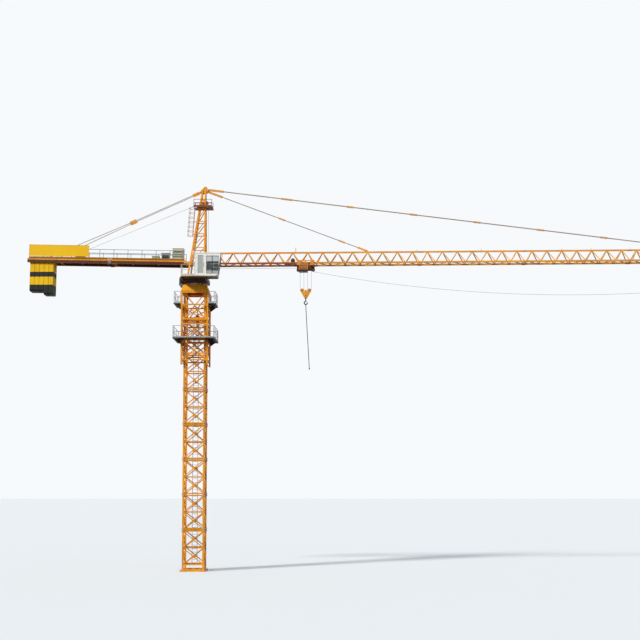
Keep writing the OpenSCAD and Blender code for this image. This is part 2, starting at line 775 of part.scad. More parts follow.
module upper_head_ladder() {
    a = [platform_rear - 24, upper_ladder_y, head_z(0.47)];
    b = [notch_x - 70, upper_ladder_y, deck_top + head_floor];
    lean = atan2(b.x - a.x, b.z - a.z);
    l = norm(b - a);
    translate(a) rotate([0, lean, 0]) {
        rotate([0, 0, 90]) ladder(ladder_w, l + 200);
        for (z = [20 : 200 : l + 10]) translate([0, 0, z]) hoop();
        for (t = [0, 45, -45]) translate([-hoop_back, 0, 0]) rotate([0, 0, t])
            box([-hoop_r - 6, -6, 20], [-hoop_r + 2, 6, l + 12]);
    }
    for (k = [3, 4]) {
        z = head_z(head_levels[k]);
        x = lerp(a.x, b.x, (z - a.z) / (b.z - a.z));
        far = head_y(head_levels[k]) - head_leg_w / 2 - 20;
        box([x - 8, a.y - ladder_w / 2, z - 8], [x + 8, a.y + ladder_w / 2, z + 8]);
        for (y = [a.y + ladder_w / 2, max(-far, a.y - ladder_w / 2)])
            bar([x, y, z], [head_back(head_levels[k]) - web_w / 2 - fit, y, z], 14);
    }
    for (y = [-1, 1]) box([b.x, a.y + y * ladder_w / 2 - 7, b.z + 8],
        [notch_x - fit, a.y + y * ladder_w / 2 + 7, b.z + 26]);
}

// Safety hoop behind a ladder: a half ring on two straight arms that reach the stiles
module hoop() translate([-hoop_back, 0, 0]) {
    rotate([0, 0, 90]) rotate_extrude(angle = 180, $fn = 48) translate([hoop_r - 4, 0]) square([8, 20]);
    for (y = [-1, 1]) {
        box([-2, y * hoop_r - 3, 1], [hoop_back, y * hoop_r + 3, 19]);
        translate([hoop_back, y * (ladder_w / 2 + hoop_r) / 2, 10])
            cube([8, hoop_r - ladder_w / 2 + 8, 16], center = true);
    }
}

module rope_sheaves() color(grey) {
    translate([rope_x - rope_r, 0, head_sheave_z]) sheave();
    translate([rope_x + rope_r, 0, root_sheave_z]) sheave();
}

// Box girders with crossbeams, and the lugs that pin them to the tower head
module counter_jib() color(steel) on_counter_jib() {
    difference() {
        for (y = [-1, 1]) box([-cj_l, y * cj_gauge / 2 - girder_w / 2, 0],
            [-cj_root, y * cj_gauge / 2 + girder_w / 2, girder_h]);
        translate([-cj_pin / cos(cj_rise), 0, girder_h / 2]) rotate([90, 0, 0])
            cylinder(d = pin_d + 2 * fit, h = cj_gauge + 2 * girder_w, center = true, $fn = 32);
    }
    for (s = [for (i = [0 : 5]) lerp(cj_pin + 90, stack_front - 60, i / 5), cj_l - 40])
        box([-s - 30, -cj_gauge / 2, girder_h * 0.3], [-s + 30, cj_gauge / 2, girder_h * 0.9]);
    for (y = [-1, 1]) translate([-cj_tie_x, y * cj_gauge / 2, girder_h]) rotate([90, 0, 0])
        translate([0, 0, -12]) linear_extrude(24) polygon([[-44, -10], [44, -10], [26, 72], [-26, 72]]);
    for (y = [-1, 1]) translate([-cj_tie_x, y * (cj_gauge / 2 + 1 - tie_w / 2), girder_h + 45])
        rotate([90, 0, 0]) cylinder(d = pin_d, h = 26 + tie_w, center = true, $fn = 32);
    for (y = [-1, 1]) box([-splice_s - 80, y * cj_gauge / 2 - girder_w / 2 - 8, -16],
        [-splice_s + 80, y * cj_gauge / 2 + girder_w / 2 + 8, girder_h + 10]);
}

// Walkway boards on both sides of the splice, and edge strips that carry the rails past the counterweights
module counter_jib_deck() color(grey) on_counter_jib(0, girder_h + fit) {
    half = walk_w / 2;
    walk_end = stack_front - walk_gap;
    strip_w = 25;
    for (y = [-1, 1]) {
        box([-walk_end, y > 0 ? girder_w : -half, 0], [-splice_s - 100, y > 0 ? half : -girder_w, walk_t]);
        box([-cj_rail_end, y > 0 ? half - strip_w : -half, 0],
            [-walk_end + 1, y > 0 ? half : strip_w - half, walk_t]);
    }
    box([-splice_s + 100, -half, 0], [-cj_root - 80, half, walk_t]);
}

module counter_jib_rails() color("lightslategray") on_counter_jib(0, walk_h)
    for (y = [-1, 1]) translate([-cj_rail_end, y * (walk_w - rail_d) / 2, 0])
        railing(cj_rail_end - cj_root - 90, cj_rail_h);

module side_panel() color(steel) on_counter_jib(0, girder_h + 90)
    box([-panel_rear, -walk_w / 2 - 12, 0],
        [-panel_front, (rail_d - walk_w) / 2 - rail_d / 2 * cos(30) - fit, panel_h]);

module counterweights() color(steel) on_counter_jib(0, 0) for (i = [0 : slabs - 1]) {
    s = stack_rear - slab_t / 2 - i * (slab_t + slab_gap);
    drop = i < slabs - 2 ? slab_h - slab_step : slab_h;
    neck = cj_gauge / 2 - girder_w / 2 - 15;
    translate([-s, 0, 0]) {
        translate([-slab_t / 2, 0, 0]) rotate([90, 0, 90]) linear_extrude(slab_t)
            polygon([[-neck, -40], [-neck, girder_h + 20], [neck, girder_h + 20], [neck, -40],
                [slab_w / 2, -40], [slab_w / 2, -drop + 60], [slab_w / 2 - 60, -drop],
                [-slab_w / 2 + 60, -drop], [-slab_w / 2, -drop + 60], [-slab_w / 2, -40]]);
        translate([0, 0, girder_h + 20 + fit]) box([-45, -cj_gauge / 2, -20], [45, cj_gauge / 2, 20]);
    }
}

module hoist_winch() color(grey) on_counter_jib(winch_s, walk_h) {
    translate([0, 0, winch_axle]) rotate([90, 0, 0]) {
        translate([0, 0, -200]) cylinder(r = winch_r, h = 400, $fn = 48);
        for (z = [-212, 200]) translate([0, 0, z]) cylinder(r = winch_r + 30, h = 12, $fn = 48);
        translate([0, 0, -237]) cylinder(d = 60, h = 474, $fn = 32);
    }
    for (y = [-1, 1]) box([-120, y * 225 - 12, 0], [120, y * 225 + 12, winch_axle + 30]);
    translate([0, 237, winch_axle]) rotate([-90, 0, 0]) cylinder(d = 180, h = 66, $fn = 32);
}

module electrical_cabinets() color(pale) on_counter_jib(0, walk_h) {
    box([-cabinet_s - cabinet_l, -cabinet_w, 0], [-cabinet_s, 0, cabinet_h]);
    box([-resistor_s - resistor_l, 20 - cabinet_w, 0], [-resistor_s, 0, resistor_h]);
    box([-tool_box_s - tool_box_l, 40 - cabinet_w, 0], [-tool_box_s, 0, tool_box_h]);
}

// Tie of flat bars through a list of points, with an eye of thickness t at each end
module tie(points, w, t) {
    last = len(points) - 1;
    ends = [points[0], points[last]];
    difference() {
        union() {
            for (k = [0 : last - 1]) bar(points[k], points[k + 1], w, t * 0.8);
            for (e = ends) translate(e) rotate([90, 0, 0])
                cylinder(r = pin_d, h = t, center = true, $fn = 32);
        }
        for (e = ends) translate(e) rotate([90, 0, 0])
            cylinder(d = pin_d + 2 * fit, h = 3 * t, center = true, $fn = 32);
    }
}

// Pair of link plates on a tie from a to b, at a distance from a
module tie_link(a, b, distance, w, t) {
    way = (b - a) / norm(b - a);
    bar(a + (distance - 120) * way, a + (distance + 120) * way, w, t);
}

// Two ties that run side by side from the head to their links, and from there spread to the girders
module counter_jib_ties() color(steel) for (y = [-1, 1]) {
    t = tie_w * 0.7;
    top = counter_tie_pin + [0, y * (head_top_w / 2 + 10 + fit + t / 2), 0];
    foot = cj_point(cj_tie_x, girder_h + 45) + [0, y * (cj_gauge / 2 - 12 - fit - t / 2), 0];
    way = (foot - top) / norm(foot - top);
    flat = [way.x, 0, way.z];
    neck = top + 380 * flat;
    middle = [lerp(top.x, foot.x, 0.45), neck.y, lerp(top.z, foot.z, 0.45)];
    heel = foot - 160 * flat;
    tie([top, neck, middle, heel, foot], tie_w, t);
    bar(top + 60 * flat, neck, link_w, t);
    tie_link(top, [foot.x, top.y, foot.z], norm(middle - top), link_w, t);
}

// One side of the jib lattice, from bay to bay
module jib_web(y, n) for (k = [0 : n - 1]) {
    s = k * pitch;
    low = y * (gauge / 2 - 10);
    foot = web_w * 1.2;
    a = k == 0 ? foot : 0;
    b = k == n - 1 ? foot : 0;
    bar([s + a, low, 0], [s + pitch / 2, 0, jib_h], web_w);
    bar([s + pitch - b, low, 0], [s + pitch / 2, 0, jib_h], web_w);
}

module jib_section(i) color(steel) on_jib(root_lug + (i - 1) * section_l) {
    for (y = [-1, 1]) box([0, y * gauge / 2 - chord_w / 2, -chord_w / 2],
        [section_l, y * gauge / 2 + chord_w / 2, chord_w / 2]);
    box([i == 1 ? pitch / 4 : 0, -top_chord_w / 2, jib_h - top_chord_w / 2],
        [section_l, top_chord_w / 2, jib_h + top_chord_w / 2]);
    for (y = [-1, 1]) jib_web(y, bays);
    for (k = [0 : bays]) {
        s = k == 0 ? web_w * 1.2 : k == bays ? section_l - web_w * 1.2 : k * pitch;
        bar([s, -gauge / 2, 0], [s, gauge / 2, 0], web_w);
    }
    for (k = [0 : bays - 1]) bar([k * pitch + web_w * 1.2, (k % 2 == 0 ? -1 : 1) * gauge / 2, 0],
        [(k + 1) * pitch - web_w * 1.2, (k % 2 == 0 ? 1 : -1) * gauge / 2, 0], web_w * 0.9);
    children();
}

// Upright plate on the top chord that a tie is pinned to
module tie_lug(x) {
    s = (x - root_x) / cos(jib_rise);
    i = floor((s - root_lug) / section_l);
    translate([s - root_lug - i * section_l, 0, jib_h]) rotate([90, 0, 0]) {
        translate([0, 0, -10]) linear_extrude(20) polygon([[-120, 0], [120, 0], [34, 106], [-34, 106]]);
        translate([0, lug_pin, 0]) cylinder(d = pin_d, h = 20 + 2 * tie_w, center = true, $fn = 32);
    }
}

module jib_section_1() jib_section(1) {
    for (y = [-1, 1]) translate([0, y * gauge / 2, 0]) difference() {
        box([-root_lug - 30, -chord_w / 4, -chord_w / 3], [1, chord_w / 4, chord_w / 3]);
        translate([-root_lug, 0, 0]) rotate([90, 0, 0])
            cylinder(d = pin_d + 2 * fit, h = chord_w, center = true, $fn = 32);
    }
    for (y = [-1, 1]) rope_anchor(rope_anchor_l, y);
    box([pitch * 5.7 - 14, -14, jib_h], [pitch * 5.7 + 14, 14, jib_h + 230]);
}

// Small block under the lattice that holds a trolley rope's end
module rope_anchor(s, y) {
    box([s - rope_anchor_l, y * travel_y - 10, travel_h - 8], [s, y * travel_y + 10, -web_w / 2 + 4]);
}
module jib_section_2() jib_section(2) tie_lug(inner_tie_x);
module jib_section_3() jib_section(3);
module jib_section_4() jib_section(4);
module jib_section_5() jib_section(5) tie_lug(outer_tie_x);
module jib_section_6() jib_section(6) translate([section_l, 0, 0]) {
    box([-60, -gauge / 2 - chord_w / 2, -chord_w / 2], [20, gauge / 2 + chord_w / 2, chord_w / 2]);
    for (y = [-1, 1]) {
        box([-20, y * 30 - 6, -420], [20, y * 30 + 6, 0]);
        rope_anchor(-60 + rope_anchor_l, y);
    }
    box([-20, -36, -430], [20, 36, -370]);
}

// A pair of flat bars for each jib tie, from a pin in the head to a pin through its lug on the jib
module jib_ties() color(steel) for (k = [0, 1], y = [-1, 1]) {
    t = tie_w / 2;
    s = ((k == 0 ? outer_tie_x : inner_tie_x) - root_x) / cos(jib_rise);
    side = [0, y * (10 + fit + t / 2), 0];
    top = tie_pins[k] + side;
    foot = [jib_x(s, jib_h + lug_pin), 0, jib_z(s, jib_h + lug_pin)] + side;
    way = (foot - top) / norm(foot - top);
    w = k == 0 ? tie_w * 1.4 : tie_w;
    tie([top, foot], w, t);
    for (d = [tie_first : tie_step : norm(foot - top) - 400]) tie_link(top, foot, d, w + 34, t);
    bar(top + 60 * way, top + link_l * way, link_w, t);
}

// Trolley winch: drum between two side plates, on rails that lie on two crossbars of the jib
module trolley_winch() color(dark) on_jib(root_lug + 5 * pitch, web_w / 2 + fit) {
    mid = pitch / 2;
    for (y = [-1, 1]) {
        box([-20, y * 140 - 16, 0], [pitch + 20, y * 140 + 16, 36]);
        box([mid - 70, y * 140 - 8, 0], [mid + 70, y * 140 + 8, 166]);
    }
    translate([mid, 0, 130]) rotate([90, 0, 0]) {
        translate([0, 0, -120]) cylinder(r = 74, h = 240, $fn = 48);
        for (z = [-130, 120]) translate([0, 0, z]) cylinder(r = 92, h = 10, $fn = 48);
        translate([0, 0, -145]) cylinder(d = 40, h = 290, $fn = 32);
    }
}

// Hoist rope as far as it is fixed: winch drum to tower head, then down to the jib root
module hoist_rope() color(dark) {
    drum_r = winch_r + rope_d / 2 + fit;
    drum = [-winch_s * cos(cj_rise), cj_z + winch_s * sin(cj_rise) + walk_h + winch_axle];
    wheel = [rope_x - rope_r, head_sheave_z];
    span = wheel - drum;
    turn = atan2(span.y, span.x) - asin((drum_r - rope_r) / norm(span));
    a = drum + drum_r * [-sin(turn), cos(turn)];
    b = wheel + rope_r * [-sin(turn), cos(turn)];
    rod([a.x, 0, a.y], [b.x, 0, b.y], rope_d, 16);
    rod([rope_x, 0, head_sheave_z], [rope_x, 0, root_sheave_z], rope_d, 16);
}

// Hoist rope from the jib root to the trolley
module jib_rope() color(dark) {
    start = rope_x + rope_r - root_x;
    on_jib(start, rope_h) rod([0, 0, 0], [trolley_s - end_sheave - start, 0, 0], rope_d, 16);
}

// Trolley rope: two runs along the whole jib
module travel_ropes() color(dark) for (y = [-1, 1])
    on_jib(root_lug + rope_anchor_l + fit, travel_h)
        rod([0, y * travel_y, 0], [jib_end - root_lug - rope_anchor_l - 60 - 2 * fit, y * travel_y, 0],
            travel_rope_d, 16);

// Platform beside the deck on three brackets, with a handrail behind the cab
module cab_platform() color(pale) {
    z = deck_z + cab_lift;
    y = -deck_w / 2 - fit;
    near = -deck_w / 2 - cab_gap - cab_w - 12;
    rear = -cab_floor_back;
    front = cab_x + cab_l;
    translate([0, 0, z - cab_floor_t]) linear_extrude(cab_floor_t)
        polygon([[rear, y], [front - 60, y], [front, y - 60], [front - 40, near], [rear + 40, near],
            [rear, near + 42]]);
    for (x = [rear + 60, 0, deck_front - 40]) translate([x + 6, 0, z - cab_floor_t]) rotate([90, 0, -90])
        linear_extrude(12) polygon([[-y + 2, 1], [-y + 2, -120], [80 - y, -120], [-near - 40, -20],
            [-near - 40, 1]]);
    translate([rear + 44, near + rail_d, z + fit]) railing(cab_x - rear - 64, cab_rail_h);
    translate([rear + rail_d, near + 50, z + fit]) rotate([0, 0, 90]) railing(y - near - 60, cab_rail_h);
}

cab_z = deck_z + cab_lift + fit;
cab_y = -deck_w / 2 - cab_gap - cab_w;
cab_side = [[0, 0], [cab_l, 0], [cab_l + cab_lean, cab_h - 110], [cab_l + cab_lean - 25, cab_h], [0, cab_h]];

// Cab outline pushed inwards by t
module cab_prism(t) {
    translate([cab_x, cab_y + t, cab_z]) rotate([90, 0, 0]) mirror([0, 0, 1])
        linear_extrude(cab_w - 2 * t) offset(delta = -t) polygon(cab_side);
}

// Window holes and the doorway of the near wall, as boxes in length and height
near_window = [480, 70, 990, 810];
doorway = [84, 40, 384, 880];

module cab_shell() color(pale) difference() {
    cab_prism(0);
    cab_prism(cab_wall);
    for (r = [near_window, doorway]) translate([cab_x, cab_y, cab_z])
        box([r[0], -1, r[1]], [r[2], cab_wall + 1, r[3]]);
    translate([cab_x, cab_y, cab_z]) box([480, cab_w - cab_wall - 1, 300], [900, cab_w + 1, 810]);
    windscreen_cut(0);
}

// Space of the windscreen, drawn in by t on its edges
module windscreen_cut(t) {
    translate([cab_x, cab_y + 50 + t, cab_z]) rotate([90, 0, 0]) mirror([0, 0, 1])
        linear_extrude(cab_w - 100 - 2 * t)
            polygon([[cab_l - 60, 110 + t], [cab_l + 300, 110 + t], [cab_l + 300, 810 - t],
                [cab_l - 60, 810 - t]]);
}

module cab_door() color(pale) translate([cab_x, cab_y, cab_z]) difference() {
    box([doorway[0] + fit, 2, doorway[1] + fit], [doorway[2] - fit, cab_wall - 2, doorway[3] - fit]);
    box([doorway[0] + 34, 0, doorway[1] + 40], [doorway[2] - 34, cab_wall, doorway[3] - 36]);
}

module cab_glass() color("lightblue", 0.4) {
    mid = cab_wall / 2;
    translate([cab_x, cab_y, cab_z]) {
        box([near_window[0] + fit, mid - glass_t / 2, near_window[1] + fit],
            [near_window[2] - fit, mid + glass_t / 2, near_window[3] - fit]);
        box([doorway[0] + 34 + fit, mid - glass_t / 2, doorway[1] + 40 + fit],
            [doorway[2] - 34 - fit, mid + glass_t / 2, doorway[3] - 36 - fit]);
        box([480 + fit, cab_w - mid - glass_t / 2, 300 + fit],
            [900 - fit, cab_w - mid + glass_t / 2, 810 - fit]);
    }
    intersection() {
        difference() {
            cab_prism(mid - glass_t / 2);
            cab_prism(mid + glass_t / 2);
        }
        windscreen_cut(fit);
    }
}

module cab_seat() color(dark) translate([cab_x + 420, cab_y + cab_w / 2, cab_z + cab_wall + fit]) {
    box([-110, -120, 180], [130, 120, 240]);
    box([-150, -120, 180], [-100, 120, 560]);
    box([-40, -60, 0], [60, 60, 180]);
    for (y = [-1, 1]) box([-60, y * 180 - 35, 0], [180, y * 180 + 35, 300]);
}

module trolley_frame() color(steel) on_jib(trolley_s) {
    side = gauge / 2 + chord_w / 2 + run;
    top = chord_w / 2 + wheel_r + 40;
    for (y = [-1, 1]) translate([0, y > 0 ? side : -side - 12, 0]) difference() {
        box([-trolley_l / 2, 0, -120], [trolley_l / 2, 12, top]);
        for (x = [-1, 1]) translate([x * wheelbase / 4, 0, 0])
            box([32 - wheelbase / 4, -1, -66], [wheelbase / 4 - 46, 13, top - 40]);
    }
    for (x = [-1, 1]) box([x * wheelbase / 2 - 30, -side - 5, -120],
        [x * wheelbase / 2 + 30, side + 5, -70]);
    for (y = [-1, 1]) translate([0, y * (sheave_w / 2 + 8), 0])
        box([-trolley_l / 2, -5, sheave_h - 40], [trolley_l / 2, 5, -100]);
    for (x = [-end_sheave, 0, end_sheave]) translate([x, 0, sheave_h]) rotate([90, 0, 0])
        cylinder(d = axle_d, h = sheave_w + 22, center = true, $fn = 32);
    for (x = [-1, 1], y = [-1, 1])
        translate([x * wheelbase / 2, y * (side + 6), chord_w / 2 + wheel_r + fit]) rotate([y * 90, 0, 0])
            cylinder(d = 19.4, h = 12 + wheel_w, $fn = 32);
}

module trolley_wheels() color(dark) on_jib(trolley_s) for (x = [-1, 1], y = [-1, 1])
    translate([x * wheelbase / 2, y * (gauge / 2 + chord_w / 2 - wheel_w / 2), chord_w / 2 + wheel_r + fit])
        rotate([90, 0, 0]) difference() {
            cylinder(r = wheel_r, h = wheel_w, center = true, $fn = 48);
            cylinder(d = 20, h = wheel_w + 2, center = true, $fn = 32);
        }

module trolley_sheaves() color(grey) on_jib(trolley_s)
    for (x = [-end_sheave, 0, end_sheave]) translate([x, 0, sheave_h]) sheave();

// Maintenance basket hung on the near side of the trolley
module trolley_basket() color(pale) on_jib(trolley_s) {
    y0 = -gauge / 2 - chord_w / 2 - run - 12 - fit;
    translate([-basket_l * 0.75, y0 - basket_w, -basket_drop]) {
        box([0, 0, 0], [basket_l, basket_w, 16]);
        for (x = [0, basket_l - 14], y = [0, basket_w - 14])
            box([x, y, 0], [x + 14, y + 14, basket_drop - 20]);
        for (z = [basket_drop * 0.45, basket_drop - 34]) difference() {
            box([0, 0, z], [basket_l, basket_w, z + 14]);
            box([14, 14, z - 1], [basket_l - 14, basket_w - 14, z + 15]);
        }
    }
}

module hoist_falls() color(dark) for (x = [-1.5, -0.5, 0.5, 1.5])
    rod([trolley_x + x * fall_gap, 0, block_z], [trolley_x + x * fall_gap, 0, trolley_z], rope_d, 16);

module block_sheaves() color(grey) for (x = [-1, 1])
    translate([trolley_x + x * fall_gap, 0, block_z]) sheave();

// Two cheek plates in the shape of two lobes over a pointed skirt
module cheek_outline() {
    difference() {
        union() {
            for (x = [-1, 1]) translate([x * fall_gap, 0]) circle(r = sheave_r - 2, $fn = 48);
            polygon([[-fall_gap - 80, -20], [-fall_gap + 30, -60], [0, 30], [fall_gap - 30, -60],
                [fall_gap + 80, -20], [fall_gap * 0.55, -block_drop + 40], [60, -block_drop],
                [-60, -block_drop], [-fall_gap * 0.55, -block_drop + 40]]);
        }
        for (x = [-1, 1]) translate([x * fall_gap, 0]) circle(d = 14, $fn = 24);
    }
}

module hook_block() color(steel) translate([trolley_x, 0, block_z]) difference() {
    union() {
        for (y = [-1, 1]) translate([0, y * (sheave_w / 2 + 3 + cheek_t / 2), 0]) rotate([90, 0, 0])
            linear_extrude(cheek_t, center = true) cheek_outline();
        for (x = [-1, 1]) translate([x * fall_gap, 0, 0]) rotate([90, 0, 0])
            cylinder(d = axle_d, h = sheave_w + 6 + 2 * cheek_t, center = true, $fn = 32);
        box([-70, -shank_d, -block_drop], [70, shank_d, -block_drop + crosshead_h]);
    }
    translate([0, 0, -block_drop - 1]) cylinder(d = shank_d + 0.16, h = crosshead_h + 2, $fn = 64);
    box([-shank_d, -100, -block_drop + crosshead_h], [shank_d, 100, -block_drop + crosshead_h + nut_h + 12]);
}

// Hook that turns in the crosshead: nut, shank and a bent round bar with a rounded tip
module lifting_hook() color(dark) translate([trolley_x, 0, block_z - block_drop]) {
    bend = hook_r + hook_t / 2;
    translate([0, 0, -hook_neck - 12]) cylinder(d = shank_d, h = hook_neck + 12 + crosshead_h + 2, $fn = 64);
    translate([0, 0, crosshead_h + fit]) cylinder(d = shank_d + 26, h = nut_h, $fn = 48);
    translate([0, 0, -60]) cylinder(d = shank_d + 20, h = 54, $fn = 48);
    translate([0, 0, -hook_neck - bend]) rotate([90, 0, 0]) {
        rotate([0, 0, 95]) rotate_extrude(angle = 270, $fn = 64)
            translate([bend, 0]) circle(d = hook_t, $fn = 32);
        rotate([0, 0, 5]) translate([bend, 0, 0]) sphere(d = hook_t, $fn = 32);
    }
}

crosshead_h = 76;
nut_h = 24;
hook_neck = 160;
sling_top = block_z - block_drop - hook_neck - 2 * hook_r - 1.5 * hook_t - fit;
sling_route = [[0, 0], [4, -60], [12, -230], [25, -460], [40, -730], [56, -1020], [73, -1310], [90, -1600],
    [106, -1890], [123, -2180], [139, -2470], [154, -2745]];

// Tube swept along points in the XZ plane
module swept_tube(points, d, sides = 8) {
    n = len(points);
    function dir(i) = let (v = points[min(i + 1, n - 1)] - points[max(i - 1, 0)]) v / norm(v);
    rings = [for (i = [0 : n - 1], k = [0 : sides - 1])
        let (u = dir(i), a = 360 * (k + 0.5) / sides)
            [points[i].x - u.y * cos(a) * d / 2, sin(a) * d / 2, points[i].y + u.x * cos(a) * d / 2]];
    walls = [for (i = [0 : n - 2], k = [0 : sides - 1])
        [i * sides + k, i * sides + (k + 1) % sides, (i + 1) * sides + (k + 1) % sides, (i + 1) * sides + k]];
    first = [for (k = [sides - 1 : -1 : 0]) k];
    last = [for (k = [0 : sides - 1]) (n - 1) * sides + k];
    polyhedron(rings, concat([first], walls, [last]), convexity = 4);
}

// Points of a smooth curve through a list, with steps pieces between neighbours
function smooth(p, steps) = [for (i = [0 : len(p) - 2], k = [0 : steps - 1])
    let (a = p[max(i - 1, 0)], b = p[i], c = p[i + 1], e = p[min(i + 2, len(p) - 1)], t = k / steps)
        0.5 * (2 * b + (c - a) * t + (2 * a - 5 * b + 4 * c - e) * t * t
            + (3 * b - a - 3 * c + e) * t * t * t),
    p[len(p) - 1]];

module sling() color(dark) translate([trolley_x, 0, sling_top])
    swept_tube(smooth(sling_route, 3), sling_d);

// Steel ferrule that hangs in line with the end of the sling
module sling_fitting() color(dark) {
    curve = smooth(sling_route, 3);
    e = curve[len(curve) - 1];
    way = e - curve[len(curve) - 2];
    translate([trolley_x + e.x, 0, sling_top + e.y]) rotate([0, -atan(way.x / -way.y), 0])
        translate([0, 0, -fit - ferrule_l]) cylinder(d = sling_d + 18, h = ferrule_l, $fn = 32);
}

// Route of the rope that sags from the trolley to the jib tip, as shares of its span and of its sag
slack_route = [[0, 0], [0.05, -0.19], [0.1, -0.36], [0.15, -0.51], [0.2, -0.64], [0.25, -0.75], [0.3, -0.84],
    [0.35, -0.91], [0.4, -0.96], [0.45, -0.99], [0.5, -1], [0.55, -0.99], [0.6, -0.96], [0.65, -0.91],
    [0.7, -0.84], [0.75, -0.75], [0.8, -0.64], [0.85, -0.51], [0.9, -0.36], [0.95, -0.19], [1, 0]];
slack_a = [jib_x(slack_s, sheave_h - rope_r), jib_z(slack_s, sheave_h - rope_r)];
slack_b = [jib_x(jib_end - 20, slack_end_h) - 1.2, jib_z(jib_end - 20, slack_end_h)];
slack_points = [for (q = slack_route) [lerp(slack_a.x, slack_b.x, q.x), lerp(slack_a.y, slack_b.y, q.x)
    + q.y * slack_sag]];

module slack_rope() color(dark) swept_tube(smooth(slack_points, 3), rope_d);

base_frame();
mast_front();
mast_back();
mast_left();
mast_right();
mast_ladder();
cage_frames();
cage_sides();
cage_platforms();
cage_rails();
climbing_jack();
slewing_support();
support_head();
slewing_deck();
slewing_motors();
tower_head();
head_platform();
head_ladder();
rope_sheaves();
counter_jib();
counter_jib_deck();
counter_jib_rails();
side_panel();
counterweights();
hoist_winch();
electrical_cabinets();
counter_jib_ties();
jib_section_1();
jib_section_2();
jib_section_3();
jib_section_4();
jib_section_5();
jib_section_6();
jib_ties();
trolley_winch();
hoist_rope();
jib_rope();
travel_ropes();
cab_platform();
cab_shell();
cab_door();
cab_glass();
cab_seat();
trolley_frame();
trolley_wheels();
trolley_sheaves();
trolley_basket();
hoist_falls();
hook_block();
block_sheaves();
lifting_hook();
sling();
sling_fitting();
slack_rope();
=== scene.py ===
import math

import bmesh
import bpy
from mathutils import Matrix, Vector


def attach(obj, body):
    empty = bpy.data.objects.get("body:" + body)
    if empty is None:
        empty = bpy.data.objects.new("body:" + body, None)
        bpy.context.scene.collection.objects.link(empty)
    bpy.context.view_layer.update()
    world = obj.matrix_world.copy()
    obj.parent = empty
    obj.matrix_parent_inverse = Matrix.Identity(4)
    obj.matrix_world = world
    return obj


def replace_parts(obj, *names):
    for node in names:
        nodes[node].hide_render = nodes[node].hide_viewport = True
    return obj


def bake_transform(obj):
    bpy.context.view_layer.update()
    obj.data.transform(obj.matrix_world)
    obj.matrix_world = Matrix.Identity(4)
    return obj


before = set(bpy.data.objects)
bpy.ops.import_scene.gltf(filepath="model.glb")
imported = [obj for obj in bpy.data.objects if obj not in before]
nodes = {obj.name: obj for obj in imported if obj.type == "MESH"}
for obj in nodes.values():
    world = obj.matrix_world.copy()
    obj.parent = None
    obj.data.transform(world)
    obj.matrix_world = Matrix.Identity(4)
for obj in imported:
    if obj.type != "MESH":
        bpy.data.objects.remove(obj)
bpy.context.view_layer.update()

# ---- View and light
# The crane stands on a pale ground, seen from eye height a long way off, with the sun on its left.
# The camera sees a paler ground and sky than the ones that light the crane.

TILT_UP = 3.86
scene = bpy.context.scene
scene.view_settings.view_transform = "Standard"

camera = bpy.data.objects.new("camera", bpy.data.cameras.new("camera"))
camera.data.lens = 61.9
camera.data.sensor_width = 36
camera.data.shift_y = 0.15
camera.data.clip_end = 1000
camera.location = (5.373, -47.273, 3.43)
camera.rotation_euler = (math.radians(90 + TILT_UP), 0, 0)
scene.collection.objects.link(camera)
scene.camera = camera

sun = bpy.data.objects.new("sun", bpy.data.lights.new("sun", "SUN"))
sun.data.energy = 3.1
sun.data.angle = math.radians(8)
sun.rotation_euler = Vector((-0.62, -0.52, 0.59)).to_track_quat("Z", "Y").to_euler()
scene.collection.objects.link(sun)


def feed(node, sockets):
    """Gives a node its inputs: values, outputs of other nodes, or nodes whose first output is meant."""
    for key, value in sockets.items():
        if isinstance(value, bpy.types.Node):
            value = value.outputs[0]
        if isinstance(value, bpy.types.NodeSocket):
            node.id_data.links.new(value, node.inputs[key])
        else:
            node.inputs[key].default_value = value


def add(tree, kind, sockets=None, **settings):
    """A node in a tree: settings are its properties, sockets its inputs. Shader nodes go by short names."""
    if not kind.startswith(("GeometryNode", "FunctionNode", "NodeGroup")):
        kind = "ShaderNode" + kind
    made = tree.nodes.new(kind)
    for key, value in settings.items():
        setattr(made, key, value)
    feed(made, sockets or {})
    return made


def maths(tree, operation, *values):
    """One step of arithmetic in a tree."""
    return add(tree, "Math", dict(enumerate(values)), operation=operation)


def seen_or_lit(tree, seen_shader, lit_shader):
    """One shader for what the camera, mirrors and glass show, another for the light it gives."""
    ray = add(tree, "LightPath")
    plain = maths(tree, "MAXIMUM", ray.outputs["Is Camera Ray"], ray.outputs["Is Glossy Ray"])
    shown = maths(tree, "MAXIMUM", plain, ray.outputs["Is Transmission Ray"])
    return add(tree, "MixShader", {0: shown, 1: lit_shader, 2: seen_shader})


sky = bpy.data.worlds.new("sky")
sky.use_nodes = True
scene.world = sky
soft, white = sky.node_tree.nodes["Background"], sky.node_tree.nodes.new("ShaderNodeBackground")
soft.inputs["Color"].default_value = (0.8, 0.9, 1, 1)
soft.inputs["Strength"].default_value = 0.56
white.inputs["Color"].default_value = (0.93, 0.95, 0.97, 1)
sky_light = seen_or_lit(sky.node_tree, white, soft)
feed(sky.node_tree.nodes["World Output"], {"Surface": sky_light})

